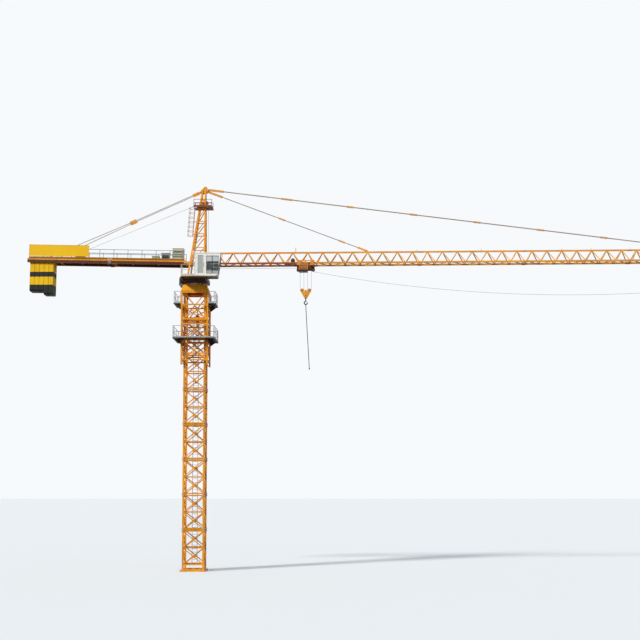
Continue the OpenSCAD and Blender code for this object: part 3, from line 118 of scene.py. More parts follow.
ground_mesh = bpy.data.meshes.new("ground")
ground_mesh.from_pydata([(-400, -400, 0), (400, -400, 0), (400, 400, 0), (-400, 400, 0)], [], [(0, 1, 2, 3)])
ground = bpy.data.objects.new("ground", ground_mesh)
scene.collection.objects.link(ground)
ground_paint = bpy.data.materials.new("ground")
ground_paint.use_nodes = True
pale_ground = ground_paint.node_tree.nodes["Principled BSDF"]
pale_ground.inputs["Base Color"].default_value = (0.78, 0.78, 0.77, 1)
pale_ground.inputs["Roughness"].default_value = 0.9
earth = add(ground_paint.node_tree, "BsdfDiffuse", {"Color": (0.13, 0.115, 0.1, 1)})
ground_shader = seen_or_lit(ground_paint.node_tree, pale_ground, earth)
feed(ground_paint.node_tree.nodes["Material Output"], {"Surface": ground_shader})
ground_mesh.materials.append(ground_paint)

# ---- Ropes that hang free
# Steel wire rope, laid in six strands: it sags from the trolley to the jib tip, and the wind bows it a little
# to the far side, so it clears the hook block when the trolley runs out.
# The sling under the hook is a dark synthetic rope with a steel fitting on its end.

JIB_ROOT, JIB_RISE = Vector((0.47, 0, 13.1944)), math.radians(0.45)
jib_place = Matrix.Translation(JIB_ROOT) @ Matrix.Rotation(-JIB_RISE, 4, "Y")


def on_jib(s, y, h):
    """Place on the jib: metres from its root pin, across, and above the bottom chords."""
    return jib_place @ Vector((s, y, h))


def smooth_route(points, steps):
    """The same curve that the solids follow: points between each two neighbours."""
    path, last = [], len(points) - 1
    for i in range(last):
        a, b, c, e = points[max(i - 1, 0)], points[i], points[i + 1], points[min(i + 2, last)]
        for k in range(steps):
            t = k / steps
            path.append(0.5 * (2 * b + (c - a) * t + (2 * a - 5 * b + 4 * c - e) * t * t
                               + (3 * b - a - 3 * c + e) * t ** 3))
    return path + [points[last]]


def link(name, mesh, *materials):
    """A new piece of the object, with its place in its mesh."""
    piece = bpy.data.objects.new(name, mesh)
    for material in materials:
        mesh.materials.append(material)
    scene.collection.objects.link(piece)
    return piece


def rope(name, path, diameter, material, sides=10):
    """Closed round tube along a path, with turns around as U and metres along as V."""
    mesh, form = bpy.data.meshes.new(name), bmesh.new()
    uv = form.loops.layers.uv.new("lay")
    along, rings, side = 0.0, [], Vector((0, 1, 0))
    lengths = []
    for i, p in enumerate(path):
        way = (path[min(i + 1, len(path) - 1)] - path[max(i - 1, 0)]).normalized()
        side = (side - way * side.dot(way)).normalized()
        other = way.cross(side)
        rings.append([form.verts.new(p + (side * math.cos(2 * math.pi * k / sides)
                                          + other * math.sin(2 * math.pi * k / sides)) * diameter / 2)
                      for k in range(sides)])
        along += (p - path[i - 1]).length if i else 0
        lengths.append(along)
    for i in range(len(rings) - 1):
        for k in range(sides):
            n = (k + 1) % sides
            face = form.faces.new([rings[i][k], rings[i][n], rings[i + 1][n], rings[i + 1][k]])
            face.smooth = True
            for loop, at in zip(face.loops, [(k, i), (k + 1, i), (k + 1, i + 1), (k, i + 1)]):
                loop[uv].uv = (at[0] / sides, lengths[at[1]])
    form.faces.new(reversed(rings[0]))
    form.faces.new(rings[-1])
    form.to_mesh(mesh)
    form.free()
    return link(name, mesh, material)


def blank(name, roughness, metallic=0.0):
    """A material with one main shader, and that shader."""
    material = bpy.data.materials.new(name)
    material.use_nodes = True
    shader = material.node_tree.nodes["Principled BSDF"]
    shader.inputs["Roughness"].default_value = roughness
    shader.inputs["Metallic"].default_value = metallic
    return material, material.node_tree, shader


def ranged(tree, value, low=0, high=1, to_low=0, to_high=1):
    """A value moved from one range to another, and cut off past its ends."""
    return add(tree, "MapRange", {0: value, 1: low, 2: high, 3: to_low, 4: to_high})


def tinted(tree, share, first, second):
    """Two colours mixed by a share of the second."""
    return add(tree, "Mix", {0: share, 6: first, 7: second}, data_type="RGBA").outputs[2]


def noise(tree, place, scale, detail, roughness=0.5):
    """Cloudy noise between 0 and 1."""
    settings = {"Vector": place, "Scale": scale, "Detail": detail, "Roughness": roughness}
    return add(tree, "TexNoise", settings)


def bumped(tree, height, strength, distance):
    """A relief for a shader's normal."""
    return add(tree, "Bump", {"Height": height, "Strength": strength, "Distance": distance})


def strands(name, light, dark, pitch, count, roughness, metallic):
    """Rope finish: strands that wind round the rope, dark and greased between them."""
    material, tree, shader = blank(name, roughness, metallic)
    uv = add(tree, "TexCoord").outputs["UV"]
    parts = add(tree, "SeparateXYZ", {0: uv})
    turn = maths(tree, "MULTIPLY", parts.outputs[1], 1 / pitch)
    both = maths(tree, "ADD", parts.outputs[0], turn)
    phase = maths(tree, "MULTIPLY", both, 2 * math.pi * count)
    wave = maths(tree, "COSINE", phase)
    crown = ranged(tree, wave, -1, 0.6, 0, 1)
    grease = noise(tree, uv, 3, 4)
    mixed = maths(tree, "MULTIPLY", crown, grease)
    colour = tinted(tree, mixed, dark, light)
    bump = bumped(tree, crown, 0.8, 0.0012)
    feed(shader, {"Base Color": colour, "Normal": bump})
    return material


wire_rope = strands("wire_rope", (0.16, 0.15, 0.14, 1), (0.02, 0.02, 0.02, 1), 0.07, 6, 0.42, 0.7)
sling_rope = strands("sling_rope", (0.014, 0.02, 0.032, 1), (0.004, 0.005, 0.008, 1), 0.05, 3, 0.9, 0.0)

TROLLEY_S, FALL_GAP, SHEAVE_H = 4.28318, 0.16, -0.248
SAG_DEPTH, SIDE_BOW, ROPE_END_S, ROPE_END_H = 1.06, 0.07, 27.43, -0.392
# Share of the way along the sagging rope, and its depth there as a share of the deepest.
SAG = [(0, 0), (0.05, -0.19), (0.1, -0.36), (0.15, -0.51), (0.2, -0.64), (0.25, -0.75), (0.3, -0.84),
       (0.35, -0.91), (0.4, -0.96), (0.45, -0.99), (0.5, -1), (0.55, -0.99), (0.6, -0.96), (0.65, -0.91),
       (0.7, -0.84), (0.75, -0.75), (0.8, -0.64), (0.85, -0.51), (0.9, -0.36), (0.95, -0.19), (1, 0)]
sag_from = on_jib(TROLLEY_S + 2 * FALL_GAP + 0.012, 0, SHEAVE_H - FALL_GAP / 2)
sag_to = on_jib(ROPE_END_S, 0, ROPE_END_H) - Vector((0.0012, 0, 0))
sag_path = smooth_route([sag_from.lerp(sag_to, x) + Vector((0, SIDE_BOW * (1 - (1 + z) ** 8), SAG_DEPTH * z))
                         for x, z in SAG], 3)
sag_rope = rope("sagging_rope", sag_path, 0.01, wire_rope)
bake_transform(sag_rope)
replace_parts(sag_rope, "slack_rope")

# Millimetres out and down from the point where the sling hangs in the hook.
SLING = [(0, 0), (4, -60), (12, -230), (25, -460), (40, -730), (56, -1020), (73, -1310), (90, -1600),
         (106, -1890), (123, -2180), (139, -2470), (154, -2745)]
sling_top = Vector((4.755, 0, 11.44275))
sling_path = smooth_route([sling_top + Vector((x, 0, z)) / 1000 for x, z in SLING], 3)
sling_piece = rope("sling_rope", sling_path, 0.03, sling_rope, 14)
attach(sling_piece, "swivel")
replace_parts(sling_piece, "sling")

# ---- Mast and base
# Square lattice of welded steel angle and tube, painted yellow, in seven sections bolted at their posts.
# The paint fades in the sun, is dirty where water runs down, and rusts at its edges. The foot is anchored
# by four nuts on each plate.


def position(tree):
    """Where a point lies, in the piece's own metres."""
    return add(tree, "TexCoord").outputs["Object"]


def painted(name, colour, roughness=0.42, dirt=0.35, rust=0.25, fade=0.18):
    """Paint on steel: faded in patches, dirt in runs, rust where the edges are worn."""
    material, tree, shader = blank(name, roughness)
    shader.inputs["Specular IOR Level"].default_value = 0.3
    place = position(tree)
    patches = noise(tree, place, 1.3, 3)
    runs = add(tree, "Mapping", {"Vector": place, "Scale": (9, 9, 1.1)})
    streaks = noise(tree, runs, 2.2, 6, 0.65)
    specks = noise(tree, place, 34, 5, 0.7)
    pale = [min(1, c * (1 + fade) + 0.02 * fade) for c in colour[:3]] + [1]
    deep = [c * (1 - fade) for c in colour[:3]] + [1]
    mud = [c * 0.35 + 0.012 for c in colour[:3]] + [1]
    broad = ranged(tree, patches, 0.35, 0.65)
    base = tinted(tree, broad, deep, pale)
    dirty = ranged(tree, streaks, 0.52, 0.78, 0, dirt)
    soiled = tinted(tree, dirty, base, mud)
    rounded = add(tree, "Bevel", {"Radius": 0.006}, samples=4)
    true = add(tree, "NewGeometry")
    corner = add(tree, "VectorMath", {0: rounded, 1: true.outputs["Normal"]}, operation="DOT_PRODUCT")
    edge = ranged(tree, corner.outputs["Value"], 0.98, 0.8, 0.12, 1)
    worn = maths(tree, "MULTIPLY", edge, specks)
    bare = ranged(tree, worn, 0.5, 0.62, 0, rust)
    colours = tinted(tree, bare, soiled, (0.13, 0.045, 0.018, 1))
    gloss = ranged(tree, streaks, 0.3, 0.8, roughness - 0.08, min(1, roughness + 0.3))
    bump = bumped(tree, specks, 0.25, 0.0015)
    feed(shader, {"Base Color": colours, "Roughness": gloss, "Normal": bump})
    return material


def banded(material, second, edges, height=None):
    """Adds a second colour to a paint, where the height lies between pairs of slightly ragged edges."""
    tree = material.node_tree
    shader = tree.nodes["Principled BSDF"]
    place = position(tree)
    if height is None:
        height = add(tree, "SeparateXYZ", {0: place}).outputs[2]
    else:
        height = height(tree, place)
    rag = noise(tree, place, 14, 3)
    shift = ranged(tree, rag, 0.3, 0.7, -0.004, 0.004)
    level = maths(tree, "ADD", height, shift)
    mask = None
    for low, high in edges:
        above = maths(tree, "GREATER_THAN", level, low)
        below = maths(tree, "LESS_THAN", level, high)
        inside = maths(tree, "MULTIPLY", above, below)
        mask = inside if mask is None else maths(tree, "MAXIMUM", mask, inside)
    first = shader.inputs["Base Color"].links[0].from_socket
    worn = noise(tree, place, 22, 5)
    deep = [c * 0.6 for c in second[:3]] + [1]
    tone = tinted(tree, worn, deep, second)
    both = tinted(tree, mask, first, tone)
    feed(shader, {"Base Color": both})
    return material


def coat(material, *names):
    """Gives CAD nodes their finish."""
    for name in names:
        for spot in nodes[name].material_slots:
            spot.material = material


def zinc(name, colour, cell):
    """Hot-dip galvanised steel: crystals in slightly different greys, dull white stains in patches."""
    material, tree, shader = blank(name, 0.45, 0.75)
    place = position(tree)
    crystals = add(tree, "TexVoronoi", {"Vector": place, "Scale": 1 / cell})
    stains = noise(tree, place, 6, 5)
    tone = add(tree, "SeparateXYZ", {0: crystals.outputs["Color"]})
    grey = ranged(tree, tone.outputs[0], 0, 1, 0.75, 1.15)
    spangle = add(tree, "VectorMath", {0: colour[:3], "Scale": grey}, operation="SCALE")
    dull = ranged(tree, stains, 0.5, 0.72, 0, 0.5)
    colours = tinted(tree, dull, spangle, (0.3, 0.29, 0.27, 1))
    gloss = ranged(tree, stains, 0.3, 0.7, 0.35, 0.65)
    bump = bumped(tree, tone.outputs[1], 0.08, 0.0005)
    feed(shader, {"Base Color": colours, "Roughness": gloss, "Normal": bump})
    return material


def new_tree(name, **sizes):
    """A Geometry Nodes tree that takes a shape, a material and named sizes, and gives a shape."""
    tree = bpy.data.node_groups.new(name, "GeometryNodeTree")
    tree.interface.new_socket("Shape", in_out="INPUT", socket_type="NodeSocketGeometry")
    tree.interface.new_socket("Material", in_out="INPUT", socket_type="NodeSocketMaterial")
    tree.interface.new_socket("Shape", in_out="OUTPUT", socket_type="NodeSocketGeometry")
    kinds = {float: "NodeSocketFloat", int: "NodeSocketInt", tuple: "NodeSocketVector"}
    for title, start in sizes.items():
        tree.interface.new_socket(title, in_out="INPUT", socket_type=kinds[type(start)]).default_value = start
    return tree, add(tree, "NodeGroupInput").outputs


def end_tree(tree, shape, material):
    """Makes the copies real, gives them their material, and puts them out."""
    real = add(tree, "GeometryNodeRealizeInstances", {0: shape})
    finished = add(tree, "GeometryNodeSetMaterial", {0: real, "Material": material})
    add(tree, "NodeGroupOutput", {0: finished})
    return tree


def times(tree, value, by):
    """A size in a tree, times a number."""
    return maths(tree, "MULTIPLY", value, by)


def grow(name, tree, body, material, slot, seed=None, place=None, **sizes):
    """Runs a tree on a mesh, and keeps what it makes as a plain mesh that rides on a body."""
    carrier = bpy.data.objects.new(name + "_seed", seed or bpy.data.meshes.new(name + "_seed"))
    scene.collection.objects.link(carrier)
    grower = carrier.modifiers.new("grow", "NODES")
    grower.node_group = tree
    for item in tree.interface.items_tree:
        if item.in_out == "INPUT" and item.name in sizes:
            grower[item.identifier] = sizes[item.name]
        elif item.in_out == "INPUT" and item.name == "Material":
            grower[item.identifier] = material
    mesh = bpy.data.meshes.new_from_object(carrier.evaluated_get(bpy.context.evaluated_depsgraph_get()))
    bpy.data.objects.remove(carrier)
    mesh.name = name
    if place:
        mesh.transform(place)
    piece = link(name, mesh)
    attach(piece, body)
    return piece


bolt_tree, size = new_tree("hex_bolts", Flats=0.03, Head=0.012)
corner_r = times(bolt_tree, size["Flats"], 0.577)
washer_h = times(bolt_tree, size["Head"], 0.25)
hexagon = add(bolt_tree, "GeometryNodeMeshCylinder",
              {"Vertices": 6, "Radius": corner_r, "Depth": size["Head"]})
lift = add(bolt_tree, "CombineXYZ", {2: times(bolt_tree, size["Head"], 0.7)})
raised = add(bolt_tree, "GeometryNodeTransform", {0: hexagon.outputs["Mesh"], "Translation": lift})
washer_r = times(bolt_tree, size["Flats"], 0.72)
washer = add(bolt_tree, "GeometryNodeMeshCylinder", {"Vertices": 12, "Radius": washer_r, "Depth": washer_h})
bolt = add(bolt_tree, "GeometryNodeJoinGeometry", {0: raised})
feed(bolt, {0: washer.outputs["Mesh"]})
facing = add(bolt_tree, "GeometryNodeInputNamedAttribute", {"Name": "facing"}, data_type="FLOAT_VECTOR")
turned = add(bolt_tree, "FunctionNodeAlignRotationToVector", {"Vector": facing}, axis="Z")
bolts_out = add(bolt_tree, "GeometryNodeInstanceOnPoints",
                {"Points": size["Shape"], "Instance": bolt, "Rotation": turned})
end_tree(bolt_tree, bolts_out, size["Material"])


def bolts(name, spots, body, flats, head, place=None, material=None, slot="galvanised"):
    """Hexagon heads on washers at (point, facing) spots, of bright zinc where no material is named."""
    seed = bpy.data.meshes.new(name + "_spots")
    seed.from_pydata([tuple(p) for p, way in spots], [], [])
    ways = seed.attributes.new("facing", "FLOAT_VECTOR", "POINT")
    for entry, (p, way) in zip(ways.data, spots):
        entry.vector = way
    return grow(name, bolt_tree, body, material or bolt_zinc, slot, seed, place, Flats=flats, Head=head)


yellow = painted("yellow_paint", (0.9, 0.34, 0.006, 1), 0.45, 0.5, 0.4)
bolt_zinc = zinc("bolt_zinc", (0.42, 0.43, 0.44), 0.012)
galvanised = zinc("galvanised", (0.34, 0.36, 0.38), 0.03)
coat(yellow, "base_frame", "mast_front", "mast_back", "mast_left", "mast_right")
coat(galvanised, "mast_ladder")

MAST_FOOT, SECTION_H, POST_C, POST_FACE, ANCHOR = 0.25, 1.5, 0.432, 0.478, 0.085
anchors = [((x * POST_C + u * ANCHOR, y * POST_C + v * ANCHOR, 0.026), (0, 0, 1)) for x in (-1, 1)
           for y in (-1, 1) for u in (-1, 1) for v in (-1, 1)]
bolts("anchor_nuts", anchors, "mast", 0.044, 0.022)


def block(form, a, b):
    """Box between two corners, in a mesh that is being made."""
    a, b = Vector(a), Vector(b)
    spread = Matrix.Diagonal([abs(x) for x in b - a]).to_4x4()
    bmesh.ops.create_cube(form, size=1, matrix=Matrix.Translation((a + b) / 2) @ spread)


def round_bar(form, a, b, radius, sides=20, far=None):
    """Closed round bar between two points, or a cone with another radius at its far end."""
    a, b = Vector(a), Vector(b)
    turn = (b - a).to_track_quat("Z", "Y").to_matrix().to_4x4()
    bmesh.ops.create_cone(form, cap_ends=True, segments=sides, radius1=radius,
                          radius2=radius if far is None else far, depth=(b - a).length,
                          matrix=Matrix.Translation((a + b) / 2) @ turn)


def made(name, form, body, material, slot, bevel=0.0, place=None):
    """Turns a mesh that is being made into a piece with slightly rounded edges."""
    bmesh.ops.recalc_face_normals(form, faces=form.faces)
    mesh = bpy.data.meshes.new(name)
    form.to_mesh(mesh)
    form.free()
    mesh.shade_smooth()
    mesh.set_sharp_from_angle(angle=math.radians(35))
    if place:
        mesh.transform(place)
    piece = link(name, mesh, material)
    if bevel:
        rounding = piece.modifiers.new("rounding", "BEVEL")
        rounding.width = bevel
        rounding.segments = 2
        rounding.limit_method = "ANGLE"
        rounding.angle_limit = math.radians(40)
    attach(piece, body)
    return piece


studs = bmesh.new()
for spot, way in anchors:
    round_bar(studs, Vector(spot) + Vector((0, 0, 0.02)), Vector(spot) + Vector((0, 0, 0.062)), 0.0125, 12)
made("anchor_studs", studs, "mast", bolt_zinc, "galvanised", 0.001)

joint_bolts = []
for i in range(1, 7):
    for x in (-1, 1):
        for y in (-1, 1):
            for dz in (-0.045, 0.045):
                z = MAST_FOOT + i * SECTION_H + dz
                joint_bolts.append(((x * POST_FACE, y * POST_C, z), (x, 0, 0)))
                joint_bolts.append(((x * POST_C, y * POST_FACE, z), (0, y, 0)))
bolts("post_joint_bolts", joint_bolts, "mast", 0.036, 0.018)

gussets = bmesh.new()
for i in range(7):
    for half in (0.25, 0.75):
        z = MAST_FOOT + (i + half) * SECTION_H
        for y in (-1, 1):
            block(gussets, (-0.06, y * POST_C - 0.024, z - 0.06), (0.06, y * POST_C + 0.024, z + 0.06))
            block(gussets, (y * POST_C - 0.024, -0.06, z - 0.06), (y * POST_C + 0.024, 0.06, z + 0.06))
made("brace_gussets", gussets, "mast", yellow, "steel", 0.003)

# ---- Climbing cage
# Lattice frame round the top of the mast, with galvanised floors and rails on two levels, guide rollers
# that run on the mast's posts, and a hydraulic jack on its back.


def floor_plate(name, colour, pitch=0.03, seam=0.6):
    """Steel floor with raised bars in two directions, seams between the boards, and mud in the hollows."""
    material, tree, shader = blank(name, 0.65)
    shader.inputs["Specular IOR Level"].default_value = 0.2
    place = position(tree)
    one = add(tree, "TexWave", {"Vector": place, "Scale": 0.31 / pitch, "Distortion": 0.3},
              bands_direction="DIAGONAL")
    back = add(tree, "Mapping", {"Vector": place, "Rotation": (0, 0, math.radians(90))})
    two = add(tree, "TexWave", {"Vector": back, "Scale": 0.31 / pitch, "Distortion": 0.3},
              bands_direction="DIAGONAL")
    crossed = maths(tree, "MULTIPLY", one.outputs["Fac"], two.outputs["Fac"])
    raised = ranged(tree, crossed, 0.25, 0.55)
    wear = noise(tree, place, 5, 5)
    parts = add(tree, "SeparateXYZ", {0: place})
    board = maths(tree, "PINGPONG", parts.outputs[0], seam)
    gap = ranged(tree, board, 0.004, 0.009)
    mud = [c * 0.3 for c in colour[:3]] + [1]
    mixed = maths(tree, "MULTIPLY", raised, wear)
    height = maths(tree, "MULTIPLY", mixed, gap)
    shade = ranged(tree, height, 0, 0.5)
    colours = tinted(tree, shade, mud, colour)
    bump = bumped(tree, height, 0.6, 0.003)
    feed(shader, {"Base Color": colours, "Normal": bump})
    return material


# Below these heights, a little above the floors' undersides, the floors are painted dark: painted shade on
# their undersides and lower edges.
LOWER_DARK, UPPER_DARK = 9.892, 11.417
grating = floor_plate("floor_grating", (0.5, 0.46, 0.36, 1))
coat(yellow, "cage_frames", "cage_sides")
coat(banded(grating, (0.045, 0.03, 0.02, 1), [(9.3, LOWER_DARK), (10.9, UPPER_DARK)]), "cage_platforms")
coat(galvanised, "cage_rails")
machine_dark = painted("machine_dark", (0.035, 0.035, 0.038, 1), 0.4, 0.4, 0.15, 0.3)
coat(machine_dark, "climbing_jack")

ROLLER_R, ROLLER_C = 0.019, 0.4975
brackets, rollers = bmesh.new(), bmesh.new()
for z in (8.84, 10.0, 10.62):
    for x in (-1, 1):
        for y in (-1, 1):
            c = Vector((x * ROLLER_C, y * POST_C, z))
            round_bar(rollers, c - Vector((0, 0.016, 0)), c + Vector((0, 0.016, 0)), ROLLER_R - 0.001, 24)
            for side in (-0.024, 0.019):
                block(brackets, c + Vector((-0.012, side, -0.03)), c + Vector((0.012, side + 0.005, 0.03)))
            block(brackets, c + Vector((-0.01, -0.05, 0.022)), c + Vector((0.01, 0.05, 0.03)))
made("roller_brackets", brackets, "mast", yellow, "steel", 0.001)
made("guide_rollers", rollers, "mast", machine_dark, "machine_dark", 0.002)

rod_chrome, rod_tree, rod_shader = blank("rod_chrome", 0.12, 1.0)
scratches = noise(rod_tree, position(rod_tree), 60, 4)
polish = ranged(rod_tree, scratches, 0.3, 0.8, 0.08, 0.3)
rod_shader.inputs["Base Color"].default_value = (0.62, 0.62, 0.63, 1)
feed(rod_shader, {"Roughness": polish})

JACK_Y, JACK_LOW, JACK_HIGH = 0.6485, 10.539, 11.376
rod = bmesh.new()
round_bar(rod, (0, JACK_Y, JACK_LOW + 0.53), (0, JACK_Y, JACK_HIGH - 0.03), 0.0288, 32)
made("jack_rod", rod, "mast", rod_chrome, "machine_grey", 0.001)
rings = bmesh.new()
for z, r in ((JACK_LOW + 0.026, 0.062), (JACK_LOW + 0.47, 0.062), (JACK_LOW + 0.502, 0.05)):
    round_bar(rings, (0, JACK_Y, z), (0, JACK_Y, z + 0.03), r, 32)
block(rings, (0.045, JACK_Y - 0.02, JACK_LOW + 0.08), (0.085, JACK_Y + 0.02, JACK_LOW + 0.15))
round_bar(rings, (0.07, JACK_Y, JACK_LOW + 0.15), (0.07, JACK_Y, JACK_LOW + 0.47), 0.008, 12)
round_bar(rings, (0.07, JACK_Y, JACK_LOW + 0.465), (0.05, JACK_Y, JACK_LOW + 0.485), 0.008, 12)
made("jack_fittings", rings, "mast", machine_dark, "machine_dark", 0.003)

bolts("jack_bolts", [((x * 0.07, JACK_Y + 0.0405, z + dz), (0, 1, 0)) for x in (-1, 1)
                     for z in (JACK_LOW, JACK_HIGH) for dz in (-0.012, 0.012)], "mast", 0.014, 0.008)

# ---- Slewing support and ring
# Four legs on the mast carry a tapered welded frame and the slewing ring. The ring is machined and greased,
# with teeth round its lower half that the pinions of two motors run on.

coat(yellow, "slewing_support", "support_head")
# The deck is painted dark brown: painted shade cast by the cab platform above it.
deck_shade_brown = painted("deck_painted_shade", (0.075, 0.028, 0.008, 1), 0.5, 0.6, 0.5)
coat(deck_shade_brown, "slewing_deck")
coat(machine_dark, "slewing_motors")
RING_Z, RING_R, DECK_Z, DECK_TOP = 12.24, 0.49, 12.3944, 12.5744


def machined(name, colour, roughness=0.38):
    """Bare machined steel under old grease: turned marks, dark film in patches."""
    material, tree, shader = blank(name, roughness, 0.8)
    place = position(tree)
    film = noise(tree, place, 11, 6, 0.6)
    marks = noise(tree, place, 140, 2)
    greased = ranged(tree, film, 0.4, 0.62)
    dark = [c * 0.16 for c in colour[:3]] + [1]
    colours = tinted(tree, greased, colour, dark)
    gloss = ranged(tree, film, 0.35, 0.7, roughness, 0.7)
    bump = bumped(tree, marks, 0.15, 0.0004)
    feed(shader, {"Base Color": colours, "Roughness": gloss, "Normal": bump})
    return material


sheave_steel = machined("sheave_steel", (0.36, 0.35, 0.33, 1))

tooth_tree, size = new_tree("gear_teeth", Teeth=100, Radius=0.5, Tooth=(0.012, 0.01, 0.05),
                            Middle=(0.0, 0.0, 0.0))
rim = add(tooth_tree, "GeometryNodeMeshCircle", {"Vertices": size["Teeth"], "Radius": size["Radius"]})
spoke = add(tooth_tree, "GeometryNodeInputPosition")
outward = add(tooth_tree, "FunctionNodeAlignRotationToVector", {"Vector": spoke}, axis="X")
tooth = add(tooth_tree, "GeometryNodeMeshCube", {"Size": size["Tooth"]})
teeth = add(tooth_tree, "GeometryNodeInstanceOnPoints",
            {"Points": rim, "Instance": tooth.outputs["Mesh"], "Rotation": outward})
set_up = add(tooth_tree, "GeometryNodeTransform", {0: teeth, "Translation": size["Middle"]})
end_tree(tooth_tree, set_up, size["Material"])
grow("ring_gear", tooth_tree, "mast", sheave_steel, "sheave_steel", Teeth=120, Radius=RING_R + 0.004,
     Tooth=(0.016, 0.013, 0.06), Middle=(0, 0, RING_Z + 0.036))

MOTOR_X, MOTOR_Y, MOTOR_R, PINION_X, PINION_R = -0.6353, 0.22, 0.0745, -0.572, 0.094
for side, y in (("near", -MOTOR_Y), ("far", MOTOR_Y)):
    gear = bmesh.new()
    round_bar(gear, (PINION_X, y, RING_Z + 0.014), (PINION_X, y, RING_Z + 0.064), PINION_R, 40)
    made("pinion_" + side, gear, "upperworks", sheave_steel, "sheave_steel", 0.002)
    grow("pinion_teeth_" + side, tooth_tree, "upperworks", sheave_steel, "sheave_steel", Teeth=24,
         Radius=PINION_R + 0.004, Tooth=(0.014, 0.012, 0.046), Middle=(PINION_X, y, RING_Z + 0.039))

disc_tree, size = new_tree("row_of_discs", Count=10, First=(0.0, 0.0, 0.0), Step=(0.0, 0.0, 0.01), Radius=0.1,
                           Thickness=0.004, Turn=(0.0, 0.0, 0.0))
row = add(disc_tree, "GeometryNodeMeshLine",
          {"Count": size["Count"], "Start Location": size["First"], "Offset": size["Step"]}, mode="OFFSET")
disc = add(disc_tree, "GeometryNodeMeshCylinder",
           {"Vertices": 28, "Radius": size["Radius"], "Depth": size["Thickness"]})
discs = add(disc_tree, "GeometryNodeInstanceOnPoints",
            {"Points": row, "Instance": disc.outputs["Mesh"], "Rotation": size["Turn"]})
end_tree(disc_tree, discs, size["Material"])
motor_parts = bmesh.new()
for side, y in (("near", -MOTOR_Y), ("far", MOTOR_Y)):
    grow("motor_fins_" + side, disc_tree, "upperworks", machine_dark, "machine_dark", Count=8,
         First=(MOTOR_X, y, RING_Z + 0.024), Step=(0, 0, 0.014), Radius=MOTOR_R + 0.0035, Thickness=0.005)
    round_bar(motor_parts, (MOTOR_X, y, DECK_Z - 0.03), (MOTOR_X, y, DECK_Z + 0.012), MOTOR_R + 0.004, 32)
    round_bar(motor_parts, (MOTOR_X, y, DECK_TOP + 0.045), (MOTOR_X, y, DECK_TOP + 0.062), 0.03, 24)
    block(motor_parts, (MOTOR_X - 0.05, y - 0.11, DECK_Z + 0.03), (MOTOR_X + 0.03, y - 0.06, DECK_Z + 0.12))
made("motor_flanges", motor_parts, "upperworks", machine_dark, "machine_dark", 0.003)

BOLT_RING = 0.405
deck_bolts = [((BOLT_RING * math.cos(a), BOLT_RING * math.sin(a), DECK_TOP), (0, 0, 1))
              for a in [math.radians(10 * k) for k in range(36)]]
bolts("ring_bolts", deck_bolts, "upperworks", 0.024, 0.014)

# ---- Tower head
# Four leaning legs with welded bracing, a red-brown platform, a pale ladder in hoops, and sheaves for the
# hoist rope. The tie bars hang from pins between the plates at the top.

coat(yellow, "tower_head")
platform_paint = painted("platform_paint", (0.24, 0.075, 0.04, 1), 0.55, 0.4, 0.2)
coat(platform_paint, "head_platform")
ladder_pink = painted("ladder_paint", (0.62, 0.44, 0.38, 1), 0.5, 0.3, 0.3)
coat(ladder_pink, "head_ladder")
coat(sheave_steel, "rope_sheaves")

HEAD_FRONT, HEAD_REAR, HEAD_BASE_Y = 0.385, -0.326, 0.43
foot_bolts = [((x + u * 0.047, y * HEAD_BASE_Y + v * 0.047, DECK_TOP + 0.041), (0, 0, 1))
              for x in (HEAD_FRONT, HEAD_REAR) for y in (-1, 1) for u in (-1, 1) for v in (-1, 1)]
bolts("leg_foot_bolts", foot_bolts, "upperworks", 0.016, 0.012)

# The counter-jib's place: metres behind the mast axis, across, and above the girders' underside.
CJ_FOOT, CJ_SLOPE, HEAD_TOP = 13.1294, math.radians(0.95), 16.4744
cj_place = Matrix.Translation((0, 0, CJ_FOOT)) @ Matrix.Rotation(CJ_SLOPE, 4, "Y")
outer_pin, inner_pin = Vector((0.475, 0, HEAD_TOP + 0.04)), Vector((0.46, 0, HEAD_TOP - 0.04))
counter_pin = Vector((0.182, 0, HEAD_TOP - 0.075))
pins = bmesh.new()
for y in (-1, 1):
    for root in (0.3198, 0.2602):
        d = 0.011 if root > 0.29 else -0.011
        round_bar(pins, (JIB_ROOT.x, y * root, JIB_ROOT.z), (JIB_ROOT.x, y * (root + d), JIB_ROOT.z),
                  0.024, 24)
    near_root = cj_place @ Vector((-0.452, 0, 0.0925))
    for root in (0.3824, 0.2976):
        d = 0.011 if root > 0.34 else -0.011
        round_bar(pins, near_root + Vector((0, y * root, 0)), near_root + Vector((0, y * (root + d), 0)),
                  0.024, 24)
    for pin, reach in ((outer_pin, 0.0752), (inner_pin, 0.0752), (counter_pin, 0.1012)):
        round_bar(pins, (pin.x, y * reach, pin.z), (pin.x, y * (reach + 0.009), pin.z), 0.022, 24)
made("root_pins", pins, "upperworks", bolt_zinc, "galvanised", 0.002)

# ---- Counter-jib
# Two welded girders with crossbeams, painted yellow, and spliced with bolted plates. Their lower part is
# painted dark red-brown: partly a red-brown web, partly painted shade under the walkway's edge and the top
# flange.
# On them lie galvanised boards between tube handrails. A sheet of painted steel hangs on the rails by the
# ballast.


def on_height(tree, place):
    """Height above the counter-jib girders' underside, from a place in the crane's frame."""
    upward = (math.sin(CJ_SLOPE), 0, math.cos(CJ_SLOPE))
    rise = add(tree, "VectorMath", {0: place, 1: upward}, operation="DOT_PRODUCT")
    return maths(tree, "SUBTRACT", rise.outputs["Value"], CJ_FOOT * math.cos(CJ_SLOPE))
